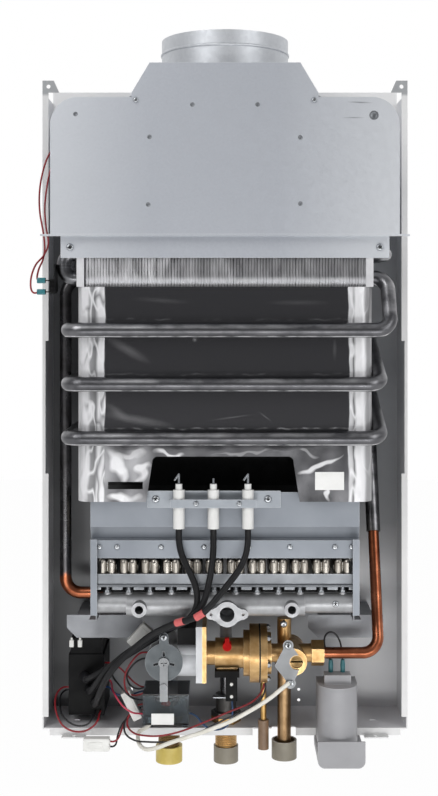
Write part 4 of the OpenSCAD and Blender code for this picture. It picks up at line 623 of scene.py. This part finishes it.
p = Paint("clear_mould", Transmission_Weight=1.0, IOR=1.35)
lid = p.rise(p.axes(p.where)[2], -0.2799, -0.2795)
p.set(Base_Color=p.mix((176, 190, 200), (24, 27, 30), lid),
      Roughness=p.span(p.effect(blotches, Scale=60.0), 0.04, 0.12))
print("finishes", len(LOOK))

# %% [markdown]
# ## Tools for small pieces
# Most small pieces are either turned, like a screw head, or box shaped with softened edges, like a
# plug. A turned shape is a drawn half outline that is spun once round; a box shape is a cube that
# is stretched and bevelled. Every piece is finished in the same way: doubles merged, faces turned
# outwards, smooth shading with sharp folds kept, and a ride on the body it sits on.

# %% Turned shapes, soft boxes and finished pieces
FRONT, RIGHT, UP = (0, -1, 0), (1, 0, 0), (0, 0, 1)
SAME_PLACE = 1e-6


def towards(direction, at):
    turn = Vector(UP).rotation_difference(Vector(direction)).to_matrix().to_4x4()
    return Matrix.Translation(Vector(at) * MM) @ turn


def add_turned(bm, outline, at, direction, steps):
    """Spins (radius, height) points, in millimetres, round a line through at."""
    made = [bm.verts.new((r * MM, 0, h * MM)) for r, h in outline]
    edges = [bm.edges.new(pair) for pair in zip(made, made[1:])]
    before = set(bm.verts) - set(made)
    bmesh.ops.spin(bm, geom=made + edges, cent=(0, 0, 0), axis=UP, angle=math.tau, steps=steps, use_merge=True)
    fresh = [v for v in bm.verts if v not in before]
    bmesh.ops.transform(bm, matrix=towards(direction, at), verts=fresh)


def add_box(bm, low, high, edge, turn=Matrix()):
    a, b = Vector(low) * MM, Vector(high) * MM
    shape = Matrix.Translation((a + b) / 2) @ turn @ Matrix.Diagonal((*(b - a), 1))
    made = bmesh.ops.create_cube(bm, size=1, matrix=shape)["verts"]
    edges = list({e for v in made for e in v.link_edges})
    bmesh.ops.bevel(bm, geom=edges, offset=edge * MM, segments=2, profile=0.5, affect="EDGES", material=-1)


def add_piece(name, look, bm=None, boxes=(), turned=(), replaces=(), crease=38):
    bm = bm or bmesh.new()
    for box in boxes:
        add_box(bm, *box)
    for shape in turned:
        add_turned(bm, *shape)
    bmesh.ops.remove_doubles(bm, verts=bm.verts, dist=SAME_PLACE)
    bmesh.ops.recalc_face_normals(bm, faces=bm.faces)
    mesh = bpy.data.meshes.new(name)
    bm.to_mesh(mesh)
    bm.free()
    mesh.shade_smooth()
    mesh.set_sharp_from_angle(angle=math.radians(crease))
    mesh.materials.append(LOOK[look])
    obj = bpy.data.objects.new(name, mesh)
    scene.collection.objects.link(obj)
    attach(obj, "heater")
    if replaces:
        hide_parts(*replaces)
    print("piece", name, len(mesh.polygons))
    return obj


print("tools for pieces ready")

# %% [markdown]
# ## Cords
# Every lead starts in a housing and ends in another. Its middle line runs through a few listed
# points, and a smooth curve through them is sampled closely. A Blender curve with a round bevel
# then draws the lead, which stays one open line with a known length.

# %% Routes of the leads, in millimetres
LEADS = {
    "left": [(-43.8, -139.2, -112.7), (-43.8, -139.2, -122), (-42.3, -141.5, -132), (-38.5, -144, -142.5),
        (-32.8, -147, -153.5), (-28, -149, -164.5), (-26, -149.5, -176), (-28, -148.5, -187), (-34, -143.5, -197),
        (-41, -131.5, -204.5), (-47.5, -119.5, -210), (-54, -113, -214.5), (-61, -110.5, -219.5),
        (-71, -107.5, -226.5), (-85, -104, -236), (-101, -99.5, -247), (-116, -95, -257.5), (-129, -89, -266.5),
        (-137, -81.5, -272), (-141, -72.5, -274.6), (-142, -62.4, -275)],
    "middle": [(-11, -139.2, -112.7), (-11, -139.2, -122), (-11.2, -143, -134), (-12.6, -149, -148),
        (-15.2, -154, -161.5), (-18.6, -157, -174.5), (-23.8, -157.5, -185), (-31.5, -154.5, -193.5),
        (-40.5, -147, -200.5), (-49.5, -137, -206), (-59, -127.5, -211.5), (-70, -119, -219.5),
        (-84.5, -113, -230.5), (-101, -109, -243), (-115.5, -103.5, -257), (-126, -95.5, -272),
        (-133, -85.5, -282.5), (-136.4, -74, -287.4), (-137, -62.4, -288)],
    "right": [(21.8, -139.2, -112.7), (21.8, -139.2, -122), (20.8, -143, -131.5), (17.4, -148.5, -141.5),
        (11.6, -153.5, -151), (3.2, -158.5, -161), (-6.2, -163.5, -171.5), (-15, -166.5, -181),
        (-23.5, -165.5, -188.5), (-33, -161.5, -193.5), (-44, -154.5, -198), (-56, -144.5, -205), (-70, -133, -215),
        (-86, -124.5, -229), (-102, -118, -245), (-114, -110.5, -261.5), (-122.3, -100.5, -279), (-128, -88, -293),
        (-130.5, -75, -299.6), (-131, -62.4, -301)],
}
WIRES = {
    "thermostat_feed": ("red", [(-174, -60, 256), (-174, -76, 253), (-178, -84, 242), (-182, -88, 224),
        (-183.5, -90, 207), (-182.5, -92, 190), (-179, -95, 172), (-177, -98, 156), (-178, -104, 144),
        (-181, -110, 135), (-182, -115, 126), (-179, -118, 123.5), (-174, -118, 123.5)]),
    "thermostat_return": ("red", [(-171, -60, 247), (-171, -75, 244), (-174, -82, 233), (-177, -85, 215),
        (-178.5, -87, 196), (-177, -90, 178), (-174, -94, 161), (-177, -102, 149), (-184, -110, 139),
        (-187.5, -116, 127), (-187.5, -118, 116), (-184.5, -118.5, 111.5), (-179, -118, 112.5), (-174, -118, 112.5)]),
    "floor_pair_red": ("red", [(-158.4, -48, -290), (-165, -49, -290), (-170, -55, -293), (-171.5, -64, -300),
        (-168, -75, -310), (-161, -83, -318), (-151, -87, -322), (-140, -88, -322), (-131, -86, -318),
        (-126.5, -80, -313), (-126, -71, -310), (-126, -62.4, -309.5)]),
    "floor_pair_black": ("black", [(-158.4, -42, -294), (-164, -43, -295), (-167.5, -49, -298),
        (-167.5, -59, -303.5), (-164, -71, -310), (-156, -79, -315.5), (-147, -83, -318), (-138, -84, -317),
        (-133, -81, -313.5), (-131, -72, -310.5), (-131, -62.4, -310)]),
    "loop_red": ("red", [(-80.3, -84, -296), (-88, -85, -298), (-95, -88, -306), (-96, -95, -314),
        (-89, -105, -318), (-77, -113, -318), (-64, -118, -316.5), (-50, -120, -313.5), (-36, -119, -309.5),
        (-22, -117, -304.5), (-8, -116, -299), (4, -115.5, -294), (16, -115, -289.5), (26, -114, -285),
        (33, -111, -279.5), (37, -108, -274), (38, -106.5, -269)]),
    "loop_black": ("black", [(-80.3, -80, -300), (-90, -82, -303), (-99, -87, -312), (-98, -97, -321),
        (-88, -107, -324.5), (-75, -113, -324), (-62, -118, -322.5), (-48, -121, -321), (-34, -120, -317),
        (-21, -119, -311), (-8, -119, -304), (5, -119, -298), (18, -119, -292.5), (29, -119, -286),
        (36, -117.5, -279), (39, -115, -272), (39, -112.5, -267)]),
    "loop_blue": ("blue", [(-34.6, -100, -300), (-28, -101, -303), (-20, -104, -311), (-10, -106, -314.5),
        (0, -105, -312.5), (6, -102, -306), (7.5, -100, -298), (7, -99.5, -291), (7, -99.5, -285.4)]),
    "rise_red": ("red", [(-80.3, -88, -284), (-88, -89, -286), (-96, -92, -283), (-99, -95, -272), (-97, -97, -260),
        (-91, -96, -250), (-84, -93, -243.5), (-76.6, -91, -243)]),
    "rise_dark": ("black", [(-80.3, -84, -280), (-87, -84, -281), (-94, -86, -277), (-97, -90, -268),
        (-94, -93, -259), (-88, -93, -252.5), (-82, -91, -249.5), (-76.4, -90, -249)]),
    "plug_red": ("red", [(-80.3, -76, -304), (-90, -77, -306), (-98, -80, -312), (-102, -86, -320),
        (-105, -92, -327), (-109, -95, -329.5), (-113.2, -95, -329.5)]),
    "plug_black": ("black", [(-80.3, -73, -308), (-91, -74, -309.5), (-101, -77.5, -316), (-106, -84, -325.5),
        (-107.5, -91, -333), (-110, -95, -334.5), (-113.2, -95, -334.5)]),
    "battery_loop": ("black", [(104.6, -88.5, -262.6), (104.6, -88, -254), (101.5, -87, -245), (98.6, -86, -236),
        (99.2, -85, -229), (103.5, -84, -225), (109.5, -84, -226.5), (114, -85, -234), (116, -87, -245),
        (116.4, -88, -254), (116.4, -88.5, -262.6)]),
    "link_red": ("red", [(-80.5, -78, -281), (-85, -78, -280), (-91.5, -78.3, -275.5), (-98, -79, -268.5),
        (-104, -77.5, -263), (-109.5, -71, -261.8), (-113, -63, -262.2), (-116.8, -57, -262.8),
        (-121.5, -54.8, -263)]),
    "link_black": ("black", [(-80.5, -92, -290), (-85, -93, -289.3), (-91.5, -97, -286), (-98.5, -100, -279),
        (-105, -96.5, -272.5), (-110, -87, -270), (-112.5, -75, -270), (-114.3, -66.5, -270.4),
        (-117.3, -60.6, -270.8), (-121.5, -58.6, -271)]),
    "link_pink": ("pink", [(-80.5, -96, -302), (-85, -97, -301.5), (-91.5, -101, -299), (-100, -103.5, -292),
        (-107, -98.5, -284.5), (-111.3, -88, -280.5), (-113, -76.5, -279.3), (-114.6, -67, -279),
        (-117.4, -60.8, -279), (-121.5, -58.6, -279)]),
    "link_blue": ("blue", [(-80.5, -68, -288), (-85, -68.5, -288.5), (-91.5, -70.8, -289.8), (-100, -74.5, -290.8),
        (-107.5, -74, -289.8), (-112.5, -69, -288.4), (-115.3, -62.5, -287.4), (-118, -58.2, -287),
        (-121.5, -56.6, -287)]),
}
SLEEVE = [(61.5, -129, -262), (53, -131, -268), (44, -132, -275), (32, -132, -283), (20, -132, -290),
        (7, -132, -297), (-7, -131.5, -303), (-22, -130.5, -309), (-38, -129, -314.5), (-53, -127.5, -320),
        (-66, -124, -326), (-77, -116, -330), (-84, -105, -328), (-85, -95, -321), (-77, -90, -317),
        (-74, -89, -313), (-74, -89, -308.3)]
print("routes", len(LEADS) + len(WIRES) + 1)

# %% Draw the leads
LEAD_D, WIRE_D, SLEEVE_D = 6.14 * MM, 1.8 * MM, 4.0 * MM
STEPS = 6  # from each point to the next
lengths = {}


def smooth_route(points):
    """A Catmull-Rom line through the points, as the part's source draws it."""
    p = [Vector(q) * MM for q in (points[0], *points, points[-1])]
    line = []
    for a, b, c, d in zip(p, p[1:], p[2:], p[3:]):
        for k in range(STEPS):
            t = k / STEPS
            line.append(0.5 * (2 * b + (c - a) * t + (2 * a - 5 * b + 4 * c - d) * t * t
                               + (3 * b - a - 3 * c + d) * t ** 3))
    return line + [p[-1]]


def draw_cord(name, points, diameter, look, node, slot, far_end="object", with_pieces=()):
    line = smooth_route(points)
    curve = bpy.data.curves.new(name, "CURVE")
    curve.dimensions = "3D"
    curve.bevel_depth = diameter / 2
    curve.bevel_resolution = 4
    curve.use_fill_caps = True
    spline = curve.splines.new("POLY")
    spline.points.add(len(line) - 1)
    for point, at in zip(spline.points, line):
        point.co = (*at, 1)
    spline.use_smooth = True
    curve.materials.append(LOOK[look])
    obj = bpy.data.objects.new(name, curve)
    scene.collection.objects.link(obj)
    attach(obj, "heater")
    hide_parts(node)
    length = sum((b - a).length for a, b in zip(line, line[1:]))
    lengths[name] = round(length, 3)
    return line


lead_lines = {side: draw_cord("ignition_lead_" + side, route, LEAD_D, "black_rubber", "hv_leads", "silicone")
              for side, route in LEADS.items()}
plug = add_piece("loose_connector", "white_mould", boxes=[
    ((-139.2, -99.8, -338.3), (-113.6, -90.2, -325.7), 0.9),
    ((-114.4, -97.4, -336.2), (-113.0, -92.6, -332.8), 0.3),
    ((-114.4, -97.4, -331.2), (-113.0, -92.6, -327.8), 0.3),
    ((-134, -100.6, -335), (-120, -99.4, -329), 0.4)])
for name, (colour, route) in WIRES.items():
    end = {"far_end": "connector", "with_pieces": [plug]} if name.startswith("plug_") else {}
    draw_cord("wire_" + name, route, WIRE_D, colour + "_wire", "harness_leads", "wire", **end)
draw_cord("white_sleeve", SLEEVE, SLEEVE_D, "white_sleeve", "harness_leads", "wire")
print("cords", lengths)

# %% [markdown]
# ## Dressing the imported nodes
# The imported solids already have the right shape, so most of them only need a finish. Each name is
# paired with one finish, and a name that was forgotten would stop the lesson here.

# %% Give every node its finish
NODE_LOOK = {
    "case_back": "back_panel", "case_side": "left_side_panel right_side_panel", "case_floor": "bottom_plate",
    "zinc": "flue_hood hood_skirt draft_baffle", "plate_zinc": "hood_front_plate", "bright_zinc": "flue_collar",
    "tinned_fin": "fin_pack", "tin": "fin_tubes", "tinned_shell": "combustion_shell",
    "tinned_tube": "water_coil", "pale_tin": "exchanger_end_plates", "left_copper": "hot_pipe",
    "right_copper": "cold_pipe", "black_mould": "overheat_thermostat solenoid_housing microswitch igniter_module",
    "grey_steel": "burner_front_panel burner_side_plates", "dark_steel": "burner_brackets",
    "pressed_steel": "electrode_bracket electrode_clamp", "polished_barrel": "burner_heads",
    "rail_steel": "burner_rail electrode_rods injectors microswitch_lever",
    "bright_steel": "sheet_screws solenoid_plunger", "plate_grey": "water_plate gas_control_lever",
    "cast_metal": "gas_manifold", "matt_cast": "gas_valve_plate", "valve_cast": "gas_valve_body",
    "brass": "water_valve_body diaphragm_rod diaphragm_cover inlet_casting union_nut",
    "outlet_brass": "hot_outlet", "dull_brass": "inlet_pipe", "old_brass": "water_spindle gas_inlet",
    "ceramic": "electrode_ceramics", "red_mould": "bleed_cap", "black_rubber": "diaphragm hv_leads",
    "white_sleeve": "harness_leads", "cap_yellow": "gas_cap", "cap_grey": "hot_cap cold_cap",
    "drain_screw": "drain_plug", "grey_mould": "battery_case battery_lid", "blue_jacket": "battery_cell",
    "clear_mould": "control_box", "green_board": "control_board",
}
dressed = {name: LOOK[look] for look, names in NODE_LOOK.items() for name in names.split()}
assert set(dressed) == set(nodes), set(dressed) ^ set(nodes)
for name, look in dressed.items():
    slots = nodes[name].data.materials
    slots.clear()
    slots.append(look)
print("dressed", len(dressed), "nodes")

# %% [markdown]
# ## Screws
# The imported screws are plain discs. A real pan head has a domed rim and a cross recess for the
# driver. The dome is spun with an open top; a cross outline is bridged to the open rim, and its
# face is pushed down into the head. Each screw is turned a little differently, as a hand leaves it.

# %% Cross-recess screws
def add_screw(bm, at, r, h, turn):
    before = set(bm.verts)
    add_turned(bm, [(r, 0), (r, 0.3 * h), (0.93 * r, 0.66 * h), (0.78 * r, 0.9 * h), (0.62 * r, h)],
               (0, 0, 0), UP, 24)
    bmesh.ops.remove_doubles(bm, verts=[v for v in bm.verts if v not in before], dist=SAME_PLACE)
    fresh = [v for v in bm.verts if v not in before]
    rim = [e for e in {e for v in fresh for e in v.link_edges}
           if e.is_boundary and all(abs(v.co.z - h * MM) < SAME_PLACE for v in e.verts)]
    a, b = 0.11 * r * MM, 0.48 * r * MM
    corners = [(b, a), (a, a), (a, b)]
    for _ in range(3):
        corners += [(-y, x) for x, y in corners[-3:]]
    star = [bm.verts.new((x, y, h * MM)) for x, y in corners]
    outline = [bm.edges.new((star[i], star[i - 1])) for i in range(len(star))]
    bmesh.ops.bridge_loops(bm, edges=rim + outline)
    recess = bmesh.ops.contextual_create(bm, geom=outline)["faces"]
    pushed = bmesh.ops.extrude_face_region(bm, geom=recess)["geom"]
    deep = [v for v in pushed if isinstance(v, bmesh.types.BMVert)]
    bmesh.ops.translate(bm, vec=(0, 0, -0.55 * h * MM), verts=deep)
    bmesh.ops.delete(bm, geom=recess, context="FACES_ONLY")
    fresh = [v for v in bm.verts if v not in before]
    set_at = towards(FRONT, at) @ Matrix.Rotation(math.radians(turn), 4, "Z")
    bmesh.ops.transform(bm, matrix=set_at, verts=fresh)


HEAD_HEIGHT = 2.2
SCREWS = [(-147, -140.2, 154.5, 3.6), (147, -140.2, 154.5, 3.6), (-84, -150, 292.5, 2.6), (84, -150, 292.5, 2.6),
          (-66, -133.4, -85.5, 3.6), (41, -133.4, -85.5, 3.6), (-27.4, -146.4, -88, 2.6),
          (13.6, -146.4, -88, 2.6), (-59, -120, -220.7, 3.6), (60.8, -124.4, -227.5, 3.6), (63, -124.4, -264, 3.6)]
SCREWS += [(x, -132.2, -131.3, 2.6) for x in (-120, -103, -61, -20, 23, 62, 105, 121)]
bm = bmesh.new()
for i, (x, y, z, r) in enumerate(SCREWS):
    add_screw(bm, (x, y, z), r, HEAD_HEIGHT, 17 + 31 * i)
add_piece("sheet_screw_heads", "bright_steel", bm, replaces=["sheet_screws"], crease=50)

# %% [markdown]
# ## Fins
# The real exchanger has close set fins of thin tinned copper. The front edge of each is folded over
# towards the next, so the front reads as narrow bright strips with dark lines between them. One
# grid makes a fin; its front columns are pushed sideways, a little more on one fin than on the next.

# %% Folded fins
FIN_COUNT, FIN_PITCH, FIRST_FIN_X = 95, 2.82, -132.6
FIN_FOOT, FIN_HEIGHT, FIN_SHEET = 117.2, 49.1, 0.3
CELLS = 5
FOLD = [(-26, 0), (-100, 0), (-133.6, 0), (-137.2, 0.3), (-137.9, 1.25), (-136.9, 2.3)]  # y, sideways
LIFT = [(0.0, 2.6, 0.8), (0.07, 0.6, 1.05), (0.15, 0.0, 1.12), (0.24, 0.9, 0.9), (0.6, 0.8, 0.95),
        (1.0, 0.7, 0.95)]  # share of the height, set back, share of the fold
bm = bmesh.new()
flat = Matrix.Rotation(math.radians(90), 4, "Y")
for i in range(FIN_COUNT):
    sway = 0.06 * math.sin(2.4 * i) + 0.06 * math.sin(0.61 * i)
    for v in bmesh.ops.create_grid(bm, x_segments=CELLS, y_segments=CELLS, size=0.5, matrix=flat)["verts"]:
        y, fold = FOLD[round((0.5 - v.co.y) * CELLS)]
        up, back, wide = LIFT[round((v.co.z + 0.5) * CELLS)]
        x = FIRST_FIN_X + FIN_PITCH * i + fold * (wide + sway)
        v.co = Vector((x, y + (back if fold else 0), FIN_FOOT + FIN_HEIGHT * up)) * MM
bmesh.ops.solidify(bm, geom=bm.faces[:], thickness=FIN_SHEET * MM)
add_piece("folded_fins", "tinned_fin", bm, replaces=["fin_pack"], crease=60)

# %% [markdown]
# ## Marks on the hood plate
# The plate is spot welded to the hood, and each weld leaves a shallow round dent with a raised rim.
# One larger dent lies near the right shoulder. They are turned discs of a fraction of a millimetre.

# %% Weld marks
PLATE_Y = -150
WELD = [(0, 0.12), (0.9, 0.1), (1.3, 0.32), (1.8, 0.34), (2.2, 0.0)]
DENT = [(0, 0.15), (2.4, 0.12), (3.0, 0.5), (3.8, 0.5), (4.4, 0.0)]
WELDS = [(-30.7, 288.3), (30.7, 288.3), (-71.1, 257.9), (70.9, 257.4), (-72.3, 194.2), (70.9, 195.1),
         (-140.7, 279.4)]
add_piece("hood_weld_marks", "rail_steel", turned=[
    *((WELD, (x, PLATE_Y, z), FRONT, 20) for x, z in WELDS), (DENT, (140.2, PLATE_Y, 278.2), FRONT, 28)])

# %% [markdown]
# ## Threads and fasteners of the valves
# A pipe thread is a saw-tooth outline; turned as rings it reads as a thread at this size. The
# diaphragm housing is held by six bolts, and the switch by two rivets.

# %% Threads, bolts, rivets and two more screws
THREAD_FOOT, HALF_PITCH, TURNS = -347.6, 0.907, 11
RADII = (10.3, 11.05)
thread = [(RADII[k % 2], THREAD_FOOT + HALF_PITCH * k) for k in range(2 * TURNS + 1)]
for name, x, look in (("hot_thread", 1, "brass"), ("gas_thread", -57, "old_brass")):
    add_piece(name, look, turned=[(thread, (x, -50, 0), UP, 48)], crease=20)

BOLT_HEAD, BOLT_END = [(0, 3.0), (2.2, 2.8), (2.9, 2.2), (2.9, 0)], [(0, 3.6), (1.4, 3.6), (1.6, 3.0), (1.6, 0)]
bolts = []
for k in range(6):
    angle = math.radians(60 * k + 12)
    at = (41, -100 + 24.6 * math.cos(angle), -241 + 24.6 * math.sin(angle))
    bolts += [(BOLT_HEAD, at, RIGHT, 6), (BOLT_END, at, RIGHT, 16)]
add_piece("diaphragm_bolts", "rail_steel", turned=bolts)
RIVET = [(0, 0.9), (1.0, 0.8), (1.6, 0.3), (1.6, 0)]
add_piece("switch_rivets", "white_mould", turned=[
    (RIVET, (6.3, -112, z), FRONT, 20) for z in (-268.5, -280.5)])
bm = bmesh.new()
add_screw(bm, (105.1, -137.3, -184.6), 3.2, 2.0, 40)
add_screw(bm, (58, -87.9, -215.8), 3.5, 2.4, 15)
add_piece("boss_screws", "bright_steel", bm, crease=50)

# %% [markdown]
# ## Plugs, sleeves and bands
# Every wire end sits in something. White plugs hold the harness at the control box and at the
# igniter wires, teal sleeves cover the blade terminals, and pink bands tie the ignition leads.

# %% White plugs
PLUGS = {  # middle, size, turn round the viewing line, half size of the raised field on the front
    "bracket_plug": ((-84.4, -85.6, -228), (13, 10.6, 25), 42, (4.5, 9)),
    "loom_plug": ((-92.5, -84, -296), (9.5, 16, 30), -26, (3, 11)),
}
for name, (middle, size, angle, (wide, tall)) in PLUGS.items():
    turn = Matrix.Rotation(math.radians(angle), 4, "Y")
    middle, half = Vector(middle), Vector(size) / 2
    front = middle - Vector((0, half.y, 0))
    add_piece(name, "white_mould", boxes=[
        (middle - half, middle + half, 0.9, turn),
        (front - Vector((wide, 0.6, tall)), front + Vector((wide, 0.4, tall)), 0.3, turn)])
TERMINAL, TERMINALS_X = [(0, 5), (1.0, 4.8), (1.2, 4), (1.2, 0)], (-155, -146.5)
add_piece("igniter_terminals", "white_mould",
          boxes=[((x - 2.2, -63.2, -245.5), (x + 2.2, -59.4, -238.5), 0.5) for x in TERMINALS_X],
          turned=[(TERMINAL, (x, -61, -241), UP, 14) for x in TERMINALS_X])

# %% Teal sleeves, boots and bands
SLEEVE_FORM = [(1.0, 0), (2.3, 0.3), (2.4, 8), (1.9, 12.6), (1.0, 13)]
BOOT = [(3.0, 21), (3.5, 20.6), (3.8, 12), (4.3, 8), (4.9, 0.8), (4.7, 0.0), (3.0, 0.0)]
BAND = [(3.15, -5), (3.5, -4.8), (3.55, 0), (3.5, 4.8), (3.15, 5)]
add_piece("teal_sleeves", "teal_mould",
          boxes=[((-181.5, -121, z - 2.7), (-173.3, -115, z + 2.7), 0.8) for z in (123.5, 112.5)],
          turned=[(SLEEVE_FORM, (x, -88.4, -263.4), UP, 20) for x in (104.6, 116.4)])
add_piece("lead_boots", "dark_boot", turned=[
    (BOOT, (line[-1].x / MM, -62.0, line[-1].z / MM), line[-12] - line[-1], 28) for line in lead_lines.values()])
line = lead_lines["right"]
spots = [int(share * len(line)) for share in (0.52, 0.418)]
add_piece("pink_bands", "pink_band", turned=[
    (BAND, line[k] / MM, line[k + 1] - line[k - 1], 28) for k in spots])

# %% [markdown]
# ## Blank labels and the inside of the control box
# Two paper labels are left blank. The clear box shows its board with a red part and a ring of black
# wire on it.

# %% Labels and board parts
add_piece("blank_labels", "paper", boxes=[
    ((85.4, -140.85, -75.7), (112.9, -140.45, -58.6), 0.08),
    ((-71.5, -112.4, -307.6), (-49.6, -111.95, -296.8), 0.08)])
add_piece("red_part", "red_mould", turned=[
    ([(0, 5.4), (r * 0.6, 5.0), (r, 3.4), (r, 0)], (x, -98.6, z), FRONT, 24)
    for x, z, r in ((-59.6, -291.4, 3.0), (-55.8, -290.4, 2.5))])

RING_R, RING_WIRE_R = 12.5 * MM, 0.9 * MM
bm = bmesh.new()
centre = Vector((-56.3, -104, -280.4)) * MM
bmesh.ops.create_circle(bm, segments=12, radius=RING_WIRE_R, cap_ends=True,
                        matrix=Matrix.Translation(centre - Vector((RING_R, 0, 0))))
bmesh.ops.spin(bm, geom=bm.verts[:] + bm.edges[:] + bm.faces[:], cent=centre, axis=FRONT, angle=math.pi, steps=36)
add_piece("box_wire", "coil_wire", bm)

# %% [markdown]
# ## Strip behind the injectors
# Below the burner heads runs a strip between the side plates, near black to stand for the shade in
# the gap there. Small tabs are folded forwards out of it, two for every burner, and hold the mouths
# of the burners over the injectors.

# %% Burner mouth strip
TABS, TAB_REACH = 24, 116.5
tabs_x = [-TAB_REACH + 2 * TAB_REACH * k / (TABS - 1) for k in range(TABS)]
add_piece("burner_mouth_strip", "shade_dark_steel", boxes=[
    ((-126.2, -110.8, -179), (126.2, -110, -166.5), 0.2),
    *(((x - 2.6, -116, -171.6), (x + 2.6, -110.4, -170.8), 0.2) for x in tabs_x)])

# %% [markdown]
# ## End

# %% Finish
print("scene ready")
